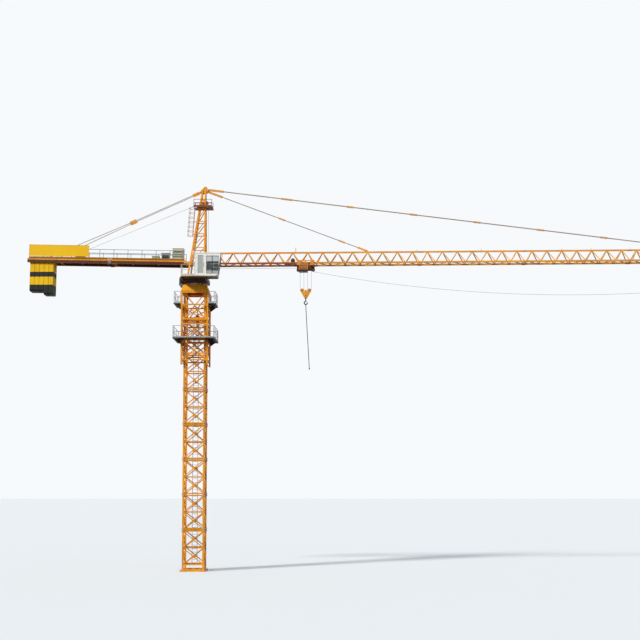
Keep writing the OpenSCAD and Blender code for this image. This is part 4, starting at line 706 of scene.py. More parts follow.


# Below 0.115 m the girders are dark red-brown: red-brown web paint and painted shade under the flange.
girder_paint = banded(painted("girder_paint", (0.83, 0.34, 0.014, 1), 0.45, 0.5, 0.5),
                      (0.12, 0.022, 0.004, 1), [(-0.03, 0.115)], on_height)
coat(girder_paint, "counter_jib")
boards = floor_plate("walkway_boards", (0.42, 0.17, 0.02, 1), 0.03, 0.75)
coat(boards, "counter_jib_deck")
# The handrails' galvanised colour is dark blue-grey: painted shade and painted sky reflection on the tube.
rail_tube = banded(zinc("rail_tube", (0.16, 0.2, 0.25), 0.03), (0.42, 0.17, 0.02, 1), [(0.19, 0.262)],
                   on_height)
coat(rail_tube, "counter_jib_rails")
panel_yellow = painted("panel_yellow", (1, 0.57, 0.0, 1), 0.45, 0.1, 0.1, 0.03)
coat(panel_yellow, "side_panel")

block_tree, size = new_tree("row_of_blocks", Count=6, First=(0.0, 0.0, 0.0), Step=(0.0, 0.0, 0.1),
                            Size=(0.1, 0.01, 0.02))
spots_row = add(block_tree, "GeometryNodeMeshLine",
                {"Count": size["Count"], "Start Location": size["First"], "Offset": size["Step"]},
                mode="OFFSET")
bar = add(block_tree, "GeometryNodeMeshCube", {"Size": size["Size"]})
bars = add(block_tree, "GeometryNodeInstanceOnPoints", {"Points": spots_row, "Instance": bar.outputs["Mesh"]})
end_tree(block_tree, bars, size["Material"])

SPLICE_S, GIRDER_Y, PANEL_Y = 3.7, 0.34, -0.392
splice_bolts = [((-(SPLICE_S + ds), y * (GIRDER_Y + 0.038), h), (0, y, 0))
                for ds in (-0.055, -0.02, 0.02, 0.055) for h in (0.02, 0.09, 0.16) for y in (-1, 1)]
bolts("splice_bolts", splice_bolts, "upperworks", 0.024, 0.014, cj_place)
panel_bolts = [((-s, PANEL_Y, h), (0, -1, 0)) for s in [4.63 + 0.278 * i for i in range(10)]
               for h in (0.295, 0.745)]
bolts("panel_bolts", panel_bolts, "upperworks", 0.02, 0.007, cj_place, material=panel_yellow, slot="steel")
rims = bmesh.new()
for h in (0.275, 0.757):
    block(rims, (-7.18, PANEL_Y - 0.006, h), (-4.598, PANEL_Y, h + 0.008))
for s in (4.598, 7.172):
    block(rims, (-s - 0.008, PANEL_Y - 0.006, 0.275), (-s, PANEL_Y, 0.765))
made("panel_rim", rims, "upperworks", panel_yellow, "steel", 0.002, cj_place)
for side, y in (("near", -GIRDER_Y), ("far", GIRDER_Y)):
    grow("girder_ribs_" + side, block_tree, "upperworks", girder_paint, "steel", place=cj_place, Count=14,
         First=(-0.75, y * 1.097, 0.0925), Step=(-0.478, 0, 0), Size=(0.012, 0.006, 0.165))

# ---- Counterweights
# Cast concrete slabs that hang between the girders on steel hangers. Their faces are painted in yellow and
# black bands, chipped at the edges, and each has two lifting eyes on top.

ballast = banded(painted("ballast_paint", (0.98, 0.54, 0.002, 1), 0.7, 0.3, 0.0, 0.1),
                 (0.022, 0.026, 0.018, 1), [(12.625, 12.84), (10, 12.28)])
coat(ballast, "counterweights")
SLAB_S, SLAB_STEP, SLABS = 7.045, 0.204, 5
eyes = bmesh.new()
for i in range(SLABS):
    s = SLAB_S - i * SLAB_STEP
    for y in (-0.17, 0.17):
        for u in (-0.022, 0.022):
            round_bar(eyes, (-s, y + u, 0.2), (-s, y + u, 0.235), 0.006, 10)
        round_bar(eyes, (-s, y - 0.028, 0.235), (-s, y + 0.028, 0.235), 0.006, 10)
made("lifting_eyes", eyes, "upperworks", machine_dark, "machine_dark", 0.001, cj_place)

# ---- Machinery on the counter-jib
# The hoist winch has a grooved drum full of wire rope, a gearbox and a finned motor. In front of it stand the
# switch cabinet with louvres, the resistor box under a dark lid and a tool box, all of folded painted sheet.

winch_grey = painted("winch_grey", (0.1, 0.11, 0.12, 1), 0.45, 0.4, 0.2)
coat(winch_grey, "hoist_winch")
wound_rope = machined("wound_rope", (0.13, 0.12, 0.11, 1), 0.5)
coil_tree, size = new_tree("rope_coil", Turns=30.0, Radius=0.1, Length=0.3, Rope=0.005,
                           Middle=(0.0, 0.0, 0.0))
winding = add(coil_tree, "GeometryNodeCurveSpiral",
              {"Resolution": 26, "Rotations": size["Turns"], "Start Radius": size["Radius"],
               "End Radius": size["Radius"], "Height": size["Length"]})
section = add(coil_tree, "GeometryNodeCurvePrimitiveCircle", {"Resolution": 7, "Radius": size["Rope"]})
wound = add(coil_tree, "GeometryNodeCurveToMesh",
            {"Curve": winding, "Profile Curve": section, "Fill Caps": True})
soft_coil = add(coil_tree, "GeometryNodeSetShadeSmooth", {0: wound})
half = times(coil_tree, size["Length"], -0.5)
down = add(coil_tree, "CombineXYZ", {2: half})
centred = add(coil_tree, "GeometryNodeTransform", {0: soft_coil, "Translation": down})
laid = add(coil_tree, "GeometryNodeTransform",
           {0: centred, "Translation": size["Middle"], "Rotation": (math.radians(90), 0, 0)})
end_tree(coil_tree, laid, size["Material"])

WINCH_S, WINCH_H, DRUM_R, ROPE_D, DECK_H = 5.05, 0.3716, 0.13, 0.01, 0.2016
grow("hoist_coil", coil_tree, "upperworks", wound_rope, "wire_rope", place=cj_place, Turns=38.0,
     Radius=DRUM_R + ROPE_D / 2, Length=0.388, Rope=ROPE_D / 2, Middle=(-WINCH_S, 0, WINCH_H))
winch = bmesh.new()
block(winch, (-WINCH_S - 0.1, -0.31, DECK_H + 0.02), (-WINCH_S + 0.1, -0.239, WINCH_H + 0.11))
block(winch, (-WINCH_S - 0.13, -0.32, DECK_H), (-WINCH_S + 0.13, -0.235, DECK_H + 0.022))
round_bar(winch, (-WINCH_S, -0.322, WINCH_H), (-WINCH_S, -0.305, WINCH_H), 0.05, 32)
round_bar(winch, (-WINCH_S, 0.3, WINCH_H), (-WINCH_S, 0.325, WINCH_H), 0.07, 32)
block(winch, (-WINCH_S - 0.04, 0.25, WINCH_H + 0.085), (-WINCH_S + 0.04, 0.3, WINCH_H + 0.125))
for h in (-0.09, 0.09):
    for s in (-0.075, 0.075):
        round_bar(winch, (-WINCH_S + s, -0.24, WINCH_H + h), (-WINCH_S + s, -0.318, WINCH_H + h), 0.008, 12)
made("winch_gearbox", winch, "upperworks", winch_grey, "machine_grey", 0.004, cj_place)
grow("winch_fins", disc_tree, "upperworks", winch_grey, "machine_grey", place=cj_place, Count=6,
     First=(-WINCH_S, 0.243, WINCH_H), Step=(0, 0.011, 0), Radius=0.094, Thickness=0.004,
     Turn=(math.radians(90), 0, 0))
bolts("winch_bolts", [((-WINCH_S + s, y * 0.225, WINCH_H + 0.03), (0, 0, 1)) for s in (-0.1, 0.1)
                      for y in (-1, 1)], "upperworks", 0.02, 0.012, cj_place)

cabinet_paint = painted("cabinet_paint", (0.56, 0.52, 0.38, 1), 0.5, 0.3, 0.1)
coat(cabinet_paint, "electrical_cabinets")
boxes, dark_boxes = bmesh.new(), bmesh.new()
for s, length, top, near in ((0.535, 0.476, 0.51, -0.3), (1.141, 0.346, 0.3, -0.28),
                             (1.595, 0.305, 0.165, -0.26)):
    lid = dark_boxes if 1 < s < 1.5 else boxes
    block(lid, (-s - length - 0.012, near - 0.012, DECK_H + top), (-s + 0.012, 0.012, DECK_H + top + 0.014))
    block(dark_boxes, (-s - length + 0.004, near + 0.004, DECK_H), (-s - 0.004, -0.004, DECK_H + 0.012))
    block(dark_boxes, (-s - length + 0.05, near - 0.014, DECK_H + top * 0.5 - 0.02),
          (-s - length + 0.062, near, DECK_H + top * 0.5 + 0.02))
    for h in (0.2, 0.8):
        round_bar(boxes, (-s - 0.006, near - 0.006, DECK_H + top * h - 0.015),
                  (-s - 0.006, near - 0.006, DECK_H + top * h + 0.015), 0.006, 12)
# Dark plates behind the louvres of the switch cabinet and the resistor box: painted shade in the gaps between
# the slats.
block(dark_boxes, (-1.011 + 0.03, -0.3035, DECK_H + 0.05), (-0.535 - 0.03, -0.299, DECK_H + 0.47))
block(dark_boxes, (-1.487 + 0.03, -0.2835, DECK_H + 0.05), (-1.141 - 0.03, -0.279, DECK_H + 0.25))
made("cabinet_doors", boxes, "upperworks", cabinet_paint, "cream_paint", 0.003, cj_place)
made("cabinet_trim_and_louvre_shade", dark_boxes, "upperworks", machine_dark, "machine_dark", 0.002, cj_place)
grow("cabinet_louvres", block_tree, "upperworks", cabinet_paint, "cream_paint", place=cj_place, Count=4,
     First=(-0.773, -0.306, DECK_H + 0.095), Step=(0, 0, 0.11), Size=(0.416, 0.014, 0.078))
grow("resistor_louvres", block_tree, "upperworks", winch_grey, "machine_grey", place=cj_place, Count=6,
     First=(-1.314, -0.286, DECK_H + 0.07), Step=(0, 0, 0.032), Size=(0.286, 0.014, 0.018))

# ---- Ties
# Flat steel bars in pairs hold both jibs from the head. The bars are pale primer, chalked and stained, and
# the pinned link plates that join their lengths are painted yellow.

tie_paint = painted("tie_paint", (0.44, 0.33, 0.27, 1), 0.6, 0.5, 0.45)
link_yellow = painted("link_yellow", (0.86, 0.36, 0.012, 1), 0.42, 0.3, 0.3)
coat(tie_paint, "counter_jib_ties", "jib_ties")


def flat_bar(form, a, b, width, thick):
    """Flat bar on edge between two points."""
    a, b = Vector(a), Vector(b)
    way = (b - a).normalized()
    side = Vector((0, 1, 0))
    side = (side - way * side.dot(way)).normalized()
    turn = Matrix((way, side, way.cross(side))).transposed().to_4x4()
    spread = Matrix.Diagonal(((b - a).length, thick, width, 1))
    bmesh.ops.create_cube(form, size=1, matrix=Matrix.Translation((a + b) / 2) @ turn @ spread)


TIE_Y, TIE_T, FIRST_LINK, LINK_STEP, HEAD_LINK = 0.0168, 0.013, 3.48, 2.78, 0.7
links, link_pins = bmesh.new(), []
for head, reach, width in ((outer_pin, 21.5, 0.0724),
                           (inner_pin, 7.39, 0.062)):
    lug = on_jib((reach - JIB_ROOT.x) / math.cos(JIB_RISE), 0, 0.578)
    way = (lug - head).normalized()
    stops = [FIRST_LINK + LINK_STEP * i for i in range(8) if FIRST_LINK + LINK_STEP * i < (lug - head).length
             - 0.4]
    for y in (-1, 1):
        side = Vector((0, y * TIE_Y, 0))
        flat_bar(links, head + side + way * 0.058, head + side + way * (HEAD_LINK + 0.004), 0.088,
                 TIE_T + 0.003)
        for k, stop in enumerate(stops):
            half = 0.25 if k == 0 and reach > 10 else 0.16
            flat_bar(links, head + side + way * (stop - half), head + side + way * (stop + half), width,
                     TIE_T + 0.004)
            link_pins += [(head + side + way * (stop + d) + Vector((0, y * (TIE_T / 2 + 0.002), 0)),
                           (0, y, 0)) for d in (-0.11, -0.04, 0.04, 0.11)]
        flat_bar(links, lug + side - way * 0.4, lug + side - way * 0.056, 0.072, TIE_T + 0.003)
        link_pins += [(head + side + way * d + Vector((0, y * (TIE_T / 2 + 0.002), 0)), (0, y, 0))
                      for d in (0.3, 0.5, 0.66)]
counter_foot = cj_place @ Vector((-6.331, 0, 0.23))
way = (counter_foot - counter_pin).normalized()
middle = (counter_foot - counter_pin).length * 0.45
for y in (-1, 1):
    side = Vector((0, y * 0.0844, 0))
    flat_bar(links, counter_pin + side + way * 0.058, counter_pin + side + way * 0.384, 0.088, 0.0215)
    flat_bar(links, counter_pin + side + way * (middle - 0.15), counter_pin + side + way * (middle + 0.15),
             0.13, 0.0215)
    link_pins += [(counter_pin + side + way * (middle + d) + Vector((0, y * 0.0105, 0)), (0, y, 0))
                  for d in (-0.1, -0.035, 0.035, 0.1)]
made("tie_links", links, "upperworks", link_yellow, "steel", 0.003)
bolts("tie_link_pins", link_pins, "upperworks", 0.026, 0.008)

# ---- Jib
# Triangular lattice in six sections: two square chords below, one above, and round and square bracing welded
# between them. The sections are joined with bolted plates, and anchors at both ends hold the trolley ropes.


def on_jib_height(tree, place):
    """Height above the middle of the jib's bottom chords, from a place in the crane's frame."""
    upward = (-math.sin(JIB_RISE), 0, math.cos(JIB_RISE))
    rise = add(tree, "VectorMath", {0: place, 1: upward}, operation="DOT_PRODUCT")
    foot = JIB_ROOT.z * math.cos(JIB_RISE) - JIB_ROOT.x * math.sin(JIB_RISE)
    return maths(tree, "SUBTRACT", rise.outputs["Value"], foot)


jib_yellow = painted("jib_paint", (0.86, 0.37, 0.025, 1), 0.45, 0.4, 0.4)
for i in range(2, 7):
    coat(jib_yellow, "jib_section_%d" % i)
# The first section is painted a darker red-brown at its bottom chords.
first_section = banded(painted("first_section_paint", (0.86, 0.34, 0.012, 1), 0.45, 0.4, 0.4),
                       (0.4, 0.09, 0.01, 1), [(-0.06, 0.026)], on_jib_height)
coat(first_section, "jib_section_1")
JIB_START, SECTION_L, PITCH, CHORD_Y, CHORD, TOP_H, TOP_CHORD = 0.15, 4.55, 0.65, 0.29, 0.07, 0.508, 0.064
plates, plate_bolts = bmesh.new(), []
for i in range(1, 6):
    s = JIB_START + SECTION_L * i
    for y in (-1, 1):
        inner = y * (CHORD_Y - CHORD / 2)
        block(plates, (s - 0.09, inner - y * 0.008, -0.03), (s + 0.09, inner, 0.03))
        block(plates, (s - 0.09, y * CHORD_Y - 0.03, -CHORD / 2 - 0.008),
              (s + 0.09, y * CHORD_Y + 0.03, -CHORD / 2))
        plate_bolts += [((s + d, inner - y * 0.008, 0), (0, -y, 0)) for d in (-0.065, -0.022, 0.022, 0.065)]
        plate_bolts += [((s + d, y * CHORD_Y, -CHORD / 2 - 0.008), (0, 0, -1))
                        for d in (-0.065, -0.022, 0.022, 0.065)]
        side = y * TOP_CHORD / 2
        block(plates, (s - 0.1, side, TOP_H - 0.024), (s + 0.1, side + y * 0.008, TOP_H + 0.024))
        plate_bolts += [((s + d, side + y * 0.008, TOP_H), (0, y, 0)) for d in (-0.075, -0.025, 0.025, 0.075)]
for s in (9.13, 11.92, 15.43, 16.7, 18.39):
    round_bar(plates, (s, 0, TOP_H + TOP_CHORD / 2 - 0.002), (s, 0, TOP_H + 0.13), 0.008, 12)
    block(plates, (s - 0.03, -0.025, TOP_H + TOP_CHORD / 2), (s + 0.03, 0.025, TOP_H + TOP_CHORD / 2 + 0.008))
made("jib_joint_plates", plates, "upperworks", jib_yellow, "steel", 0.002, jib_place)
bolts("jib_joint_bolts", plate_bolts, "upperworks", 0.018, 0.008, jib_place)
for side, y in (("near", -1), ("far", 1)):
    grow("jib_gussets_" + side, block_tree, "upperworks", jib_yellow, "steel", place=jib_place, Count=41,
         First=(JIB_START + PITCH, y * (CHORD_Y - CHORD / 2 - 0.022), 0), Step=(PITCH, 0, 0),
         Size=(0.11, 0.044, 0.012))

# ---- Ropes under load
# Greased wire rope on six sheaves: from the winch over the head to the jib root, along the jib to the
# trolley and down to the block in four falls. Two thinner ropes pull the trolley, from a black winch inside
# the jib.


def taut(name, a, b, diameter, node, *bodies):
    """Straight rope in place of a CAD node: it rides on one body, and is left in place when it runs between
    two.
    """
    piece = rope(name, [Vector(a), Vector(b)], diameter, wire_rope, 12)
    if len(bodies) == 2:
        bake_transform(piece)
    else:
        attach(piece, bodies[0])
    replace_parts(piece, node)


ROPE_X, ROPE_R, HEAD_SHEAVE_Z, ROOT_SHEAVE_Z, FIT = 0.51, 0.08, 15.9244, 13.1073, 0.0003
drum_mid, wheel_mid = cj_place @ Vector((-WINCH_S, 0, WINCH_H)), Vector((ROPE_X - ROPE_R, 0, HEAD_SHEAVE_Z))
wrap_r = DRUM_R + ROPE_D / 2 + FIT
span = wheel_mid - drum_mid
turn = math.atan2(span.z, span.x) - math.asin((wrap_r - ROPE_R) / span.length)
normal = Vector((-math.sin(turn), 0, math.cos(turn)))
taut("hoist_rope_up", drum_mid + wrap_r * normal, wheel_mid + ROPE_R * normal, ROPE_D, "hoist_rope",
     "upperworks")
taut("hoist_rope_down", (ROPE_X, 0, HEAD_SHEAVE_Z), (ROPE_X, 0, ROOT_SHEAVE_Z), ROPE_D, "hoist_rope",
     "upperworks")
taut("jib_rope_run", on_jib(ROPE_X + ROPE_R - JIB_ROOT.x, 0, -0.168),
     on_jib(TROLLEY_S - 2 * FALL_GAP, 0, -0.168), ROPE_D, "jib_rope", "upperworks", "trolley")
TRAVEL_FROM, TRAVEL_TO, TRAVEL_H = 0.206, 27.3894, -0.049
for side, y in (("near", -0.06), ("far", 0.06)):
    taut("travel_rope_" + side, on_jib(TRAVEL_FROM, y, TRAVEL_H), on_jib(TRAVEL_TO, y, TRAVEL_H), 0.008,
         "travel_ropes", "upperworks")
FALL_X, FALL_TOP, BLOCK_Z = 4.755, 12.98005, 12.08505
for i, shift in enumerate((-1.5, -0.5, 0.5, 1.5)):
    x = FALL_X + shift * FALL_GAP
    taut("fall_%d" % (i + 1), (x, 0, FALL_TOP), (x, 0, BLOCK_Z), ROPE_D, "hoist_falls", "trolley", "hook")

coat(machine_dark, "trolley_winch")
T_WINCH_S, T_WINCH_H, T_DRUM_R = 3.725, 0.1463, 0.074
grow("trolley_coil", coil_tree, "upperworks", wound_rope, "wire_rope", place=jib_place, Turns=27.0,
     Radius=T_DRUM_R + 0.004, Length=0.228, Rope=0.004, Middle=(T_WINCH_S, 0, T_WINCH_H))
t_winch = bmesh.new()
round_bar(t_winch, (T_WINCH_S, -0.149, T_WINCH_H), (T_WINCH_S, -0.2, T_WINCH_H), 0.06, 32)
round_bar(t_winch, (T_WINCH_S, -0.2, T_WINCH_H), (T_WINCH_S, -0.212, T_WINCH_H), 0.045, 32)
round_bar(t_winch, (T_WINCH_S, 0.149, T_WINCH_H), (T_WINCH_S, 0.19, T_WINCH_H), 0.066, 32)
block(t_winch, (T_WINCH_S - 0.03, -0.19, T_WINCH_H + 0.055), (T_WINCH_S + 0.03, -0.155, T_WINCH_H + 0.085))
made("trolley_winch_motor", t_winch, "upperworks", machine_dark, "machine_dark", 0.003, jib_place)
grow("trolley_winch_fins", disc_tree, "upperworks", machine_dark, "machine_dark", place=jib_place, Count=5,
     First=(T_WINCH_S, -0.155, T_WINCH_H), Step=(0, -0.0095, 0), Radius=0.064, Thickness=0.003,
     Turn=(math.radians(90), 0, 0))

# ---- Cab
# White sheet-steel cab on a cream platform beside the deck, with a leaning windscreen, windows in rubber
# gaskets, a door with a handle and hinges, and a seat between two consoles with levers.

# Up to a little above its underside, the platform and its brackets are painted dark brown: painted shade
# under the platform.
cab_cream = banded(painted("platform_cream", (0.7, 0.62, 0.46, 1), 0.5, 0.45, 0.4), (0.05, 0.035, 0.025, 1),
                   [(12.2, 12.466)])
coat(cab_cream, "cab_platform")
cab_white = painted("cab_white", (1, 0.97, 0.88, 1), 0.4, 0.2, 0.15, 0.03)
coat(cab_white, "cab_shell", "cab_door")
CAB_X, CAB_Y, CAB_Z, CAB_L, CAB_W, CAB_H, LEAN = 0.08, -1.24, 12.5187, 0.95, 0.62, 0.95, 0.1488
cab_place = Matrix.Translation((CAB_X, CAB_Y, CAB_Z))

# Cab glass: dark and clear under a pale dull film. The pale diagonal streaks on the windows are painted
# reflection; the door pane's heavier pale cover is partly dust and partly painted reflection; two pale bands
# stand for a blind at the top and a desk at the bottom inside the cab.
glazing, glass_tree, glass = blank("cab_glazing", 0.06)
glass_at = position(glass_tree)
glass_parts = add(glass_tree, "SeparateXYZ", {0: glass_at})
in_door = maths(glass_tree, "LESS_THAN", glass_parts.outputs[0], CAB_X + 0.43)
streak_place = add(glass_tree, "Mapping", {"Vector": glass_at, "Rotation": (0, 0.5, 0), "Scale": (2.2, 5, 9)})
streak_noise = noise(glass_tree, streak_place, 1.6, 5, 0.6)
film = ranged(glass_tree, streak_noise, 0.5, 0.7, 0.0, 0.4)
thick = ranged(glass_tree, streak_noise, 0.3, 0.7, 0.72, 0.95)
blind = ranged(glass_tree, glass_parts.outputs[2], CAB_Z + 0.575, CAB_Z + 0.6, 0, 0.85)
desk = ranged(glass_tree, glass_parts.outputs[2], CAB_Z + 0.2, CAB_Z + 0.17, 0, 0.6)
bands = maths(glass_tree, "MAXIMUM", blind, desk)
window = maths(glass_tree, "MAXIMUM", bands, film)
cover = add(glass_tree, "Mix", {0: in_door, 2: window, 3: thick})
tint = tinted(glass_tree, in_door, (0.72, 0.74, 0.72, 1), (0.56, 0.58, 0.52, 1))
glass.inputs["Base Color"].default_value = (0.1, 0.12, 0.12, 1)
glass.inputs["Transmission Weight"].default_value = 0.75
pale_film = add(glass_tree, "BsdfDiffuse", {"Color": tint})
panes = add(glass_tree, "MixShader", {0: cover, 1: glass, 2: pale_film})
feed(glass_tree.nodes["Material Output"], {"Surface": panes})
coat(glazing, "cab_glass")

rubber, rubber_tree, rubber_shader = blank("black_rubber", 0.75)
grain = noise(rubber_tree, position(rubber_tree), 90, 3)
rubber_tone = tinted(rubber_tree, grain, (0.012, 0.012, 0.012, 1), (0.045, 0.045, 0.042, 1))
rubber_bump = bumped(rubber_tree, grain, 0.3, 0.0008)
feed(rubber_shader, {"Base Color": rubber_tone, "Normal": rubber_bump})


def gasket(form, x0, x1, z0, z1, y, proud, width):
    """Four strips round a window, standing proud of a side wall."""
    block(form, (x0 - width, y, z0 - width), (x1 + width, y + proud, z0))
    block(form, (x0 - width, y, z1), (x1 + width, y + proud, z1 + width))
    block(form, (x0 - width, y, z0), (x0, y + proud, z1))
    block(form, (x1, y, z0), (x1 + width, y + proud, z1))


seals = bmesh.new()
gasket(seals, 0.48, 0.99, 0.07, 0.81, -0.004, 0.006, 0.012)
gasket(seals, 0.48, 0.9, 0.3, 0.81, CAB_W - 0.002, 0.006, 0.012)
block(seals, (0.715, -0.0035, 0.07), (0.733, 0.004, 0.81))
block(seals, (0.718, 0.012, 0.1), (0.73, 0.016, 0.8))
for y in (0.05, CAB_W - 0.062):
    flat_bar(seals, (CAB_L + 0.11 * LEAN + 0.001, y, 0.11), (CAB_L + 0.81 * LEAN + 0.001, y, 0.81), 0.006,
             0.014)
for z in (0.105, 0.81):
    x = CAB_L + z * LEAN
    block(seals, (x - 0.003, 0.043, z - 0.006), (x + 0.006, CAB_W - 0.055, z + 0.006))
made("window_gaskets", seals, "upperworks", rubber, "machine_dark", 0.001, cab_place)

trim = bmesh.new()
block(trim, (-0.012, -0.012, CAB_H), (CAB_L + 0.112, CAB_W + 0.01, CAB_H + 0.014))
block(trim, (-0.012, -0.012, CAB_H - 0.02), (CAB_L + 0.112, -0.002, CAB_H))
block(trim, (-0.006, -0.006, 0), (CAB_L + 0.004, -0.0005, 0.03))
for x in (-0.006, 0.4, 0.455):
    block(trim, (x, -0.006, 0.03), (x + 0.02, -0.0005, CAB_H - 0.02))
for z in (0.2, 0.46, 0.72):
    round_bar(trim, (0.078, -0.0048, z), (0.078, -0.0048, z + 0.06), 0.007, 14)
    block(trim, (0.05, -0.004, z + 0.005), (0.108, 0.0, z + 0.055))
gasket(trim, 0.118, 0.35, 0.08, 0.844, -0.004, 0.006, 0.01)
block(trim, (0.55, 0.03, 0.03), (0.95, 0.12, 0.2))
made("cab_trim", trim, "upperworks", cab_white, "cab_paint", 0.002, cab_place)

fixtures = bmesh.new()
round_bar(fixtures, (0.368, -0.0075, 0.4), (0.368, -0.0075, 0.54), 0.004, 16)
for z in (0.405, 0.535):
    round_bar(fixtures, (0.368, 0.0, z), (0.368, -0.0085, z), 0.006, 16)
round_bar(fixtures, (0.368, -0.001, 0.36), (0.368, -0.008, 0.36), 0.01, 20)
hub = Vector((CAB_L + 0.83 * LEAN, 0.3, 0.83))
round_bar(fixtures, hub - Vector((0.005, 0, 0)), hub + Vector((0.014, 0, 0)), 0.014, 20)
flat_bar(fixtures, hub + Vector((0.01, 0, 0)), (CAB_L + 0.32 * LEAN + 0.01, 0.2, 0.32), 0.006, 0.008)
flat_bar(fixtures, (CAB_L + 0.5 * LEAN + 0.008, 0.235, 0.5), (CAB_L + 0.16 * LEAN + 0.008, 0.167, 0.16), 0.01,
         0.012)
round_bar(fixtures, (CAB_L + 0.88 * LEAN, 0.014, 0.88), (CAB_L + 0.88 * LEAN + 0.08, 0.014, 0.87), 0.005, 12)
block(fixtures, (CAB_L + 0.88 * LEAN + 0.07, -0.008, 0.76), (CAB_L + 0.88 * LEAN + 0.08, 0.05, 0.88))
for x in (0.3, 0.75):
    round_bar(fixtures, (x, 0.31, CAB_H + 0.013), (x, 0.31, CAB_H + 0.03), 0.03, 24)
made("cab_fixtures", fixtures, "upperworks", machine_dark, "machine_dark", 0.0015, cab_place)
lamp_glass = blank("lamp_glass", 0.15)
lamp_rings = add(lamp_glass[1], "TexWave",
                 {"Scale": 60, "Distortion": 0.4, "Vector": position(lamp_glass[1])}, bands_direction="Z")
lamp_tone = tinted(lamp_glass[1], lamp_rings.outputs["Fac"], (0.45, 0.1, 0.01, 1), (0.75, 0.25, 0.03, 1))
feed(lamp_glass[2], {"Base Color": lamp_tone})
lamp = bmesh.new()
round_bar(lamp, (0.75, 0.31, CAB_H + 0.03), (0.75, 0.31, CAB_H + 0.065), 0.024, 24, 0.02)
made("roof_lamp", lamp, "upperworks", lamp_glass[0], "machine_dark", 0.004, cab_place)

vinyl, vinyl_tree, vinyl_shader = blank("seat_vinyl", 0.5)
vinyl_at = position(vinyl_tree)
cells = add(vinyl_tree, "TexVoronoi", {"Vector": vinyl_at, "Scale": 260}, feature="DISTANCE_TO_EDGE")
seam = add(vinyl_tree, "TexWave", {"Vector": vinyl_at, "Scale": 8}, bands_direction="Y")
seams = ranged(vinyl_tree, seam.outputs["Fac"], 0, 0.06)
relief = maths(vinyl_tree, "ADD", cells, seams)
vinyl_bump = bumped(vinyl_tree, relief, 0.4, 0.002)
vinyl_tone = tinted(vinyl_tree, seams, (0.008, 0.008, 0.008, 1), (0.03, 0.03, 0.032, 1))
feed(vinyl_shader, {"Base Color": vinyl_tone, "Normal": vinyl_bump})


def cushion(name, low, high, power):
    """Stuffed cushion between two corners, fuller in its middle than at its seams."""
    form = bmesh.new()
    bmesh.ops.create_cube(form, size=2)
    bmesh.ops.subdivide_edges(form, edges=form.edges, cuts=9, use_grid_fill=True)
    low, high = Vector(low), Vector(high)
    for vert in form.verts:
        x, y, z = vert.co
        reach = (abs(x) ** power + abs(y) ** power + abs(z) ** power) ** (1 / power)
        vert.co = [c + h * v / reach for c, h, v in zip((low + high) / 2, (high - low) / 2, (x, y, z))]
    piece = made(name, form, "upperworks", vinyl, "seat_vinyl", place=seat_place)
    for face in piece.data.polygons:
        face.use_smooth = True
    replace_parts(piece, "cab_seat")


seat_place = Matrix.Translation((0.5, -0.93, 12.543))
cushion("seat_cushion", (-0.11, -0.12, 0.178), (0.13, 0.12, 0.242), 6)
cushion("seat_back", (-0.15, -0.12, 0.2), (-0.098, 0.12, 0.56), 5)
seat = bmesh.new()
block(seat, (-0.1, -0.1, 0.168), (0.12, 0.1, 0.179))
round_bar(seat, (0.01, 0, 0.012), (0.01, 0, 0.17), 0.04, 32)
block(seat, (-0.06, -0.06, 0), (0.08, 0.06, 0.014))
block(seat, (-0.165, -0.03, 0.17), (-0.15, 0.03, 0.4))
block(seat, (-0.165, -0.03, 0.155), (-0.09, 0.03, 0.17))
for y in (-0.18, 0.18):
    block(seat, (-0.06, y - 0.035, 0), (0.18, y + 0.035, 0.28))
    block(seat, (-0.068, y - 0.038, 0.28), (0.19, y + 0.038, 0.3))
    round_bar(seat, (0.12, y, 0.3), (0.12, y, 0.312), 0.018, 20)
    round_bar(seat, (0.12, y, 0.31), (0.125, y, 0.36), 0.005, 12)
    round_bar(seat, (0.125, y, 0.355), (0.127, y, 0.392), 0.011, 20, 0.014)
    for x in (-0.03, 0.0, 0.03):
        round_bar(seat, (x, y, 0.3), (x, y, 0.307), 0.008, 14)
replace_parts(made("seat_and_consoles", seat, "upperworks", machine_dark, "machine_dark", 0.003, seat_place),
            "cab_seat")

# ---- Trolley
# Welded frame between two side plates, on four wheels that roll on the jib's bottom chords, with three rope
# sheaves below it. A small basket of angle bars and wire mesh hangs on its near side.

# The trolley is painted dark brown from the lower edge of its side plates down.
trolley_paint = banded(painted("trolley_paint", (0.78, 0.28, 0.014, 1), 0.5, 0.5, 0.5),
                       (0.16, 0.04, 0.012, 1), [(-0.3, -0.094)], on_jib_height)
coat(trolley_paint, "trolley_frame")
coat(machine_dark, "trolley_wheels")
coat(sheave_steel, "trolley_sheaves")
basket_paint = banded(painted("basket_paint", (0.74, 0.32, 0.08, 1), 0.5, 0.5, 0.5), (0.02, 0.014, 0.012, 1),
                      [(-0.44, -0.352)], on_jib_height)
coat(basket_paint, "trolley_basket")
trolley_place = jib_place @ Matrix.Translation((TROLLEY_S, 0, 0))
SIDE_Y, WHEEL_X, WHEEL_H = 0.343, 0.25, 0.0773
hub_bolts = [((x * WHEEL_X, y * SIDE_Y, WHEEL_H), (0, y, 0)) for x in (-1, 1) for y in (-1, 1)]
bolts("wheel_nuts", hub_bolts, "trolley", 0.03, 0.012, trolley_place)
frame_bolts = [((x * WHEEL_X + d, y * SIDE_Y, -0.095), (0, y, 0)) for x in (-1, 1) for y in (-1, 1)
               for d in (-0.018, 0.018)]
bolts("frame_bolts", frame_bolts, "trolley", 0.016, 0.008, trolley_place)
sheave_nuts = [((x, y * 0.0305, SHEAVE_H), (0, y, 0)) for x in (-0.32, 0, 0.32) for y in (-1, 1)]
bolts("sheave_nuts", sheave_nuts, "trolley", 0.026, 0.009, trolley_place)
guards = bmesh.new()
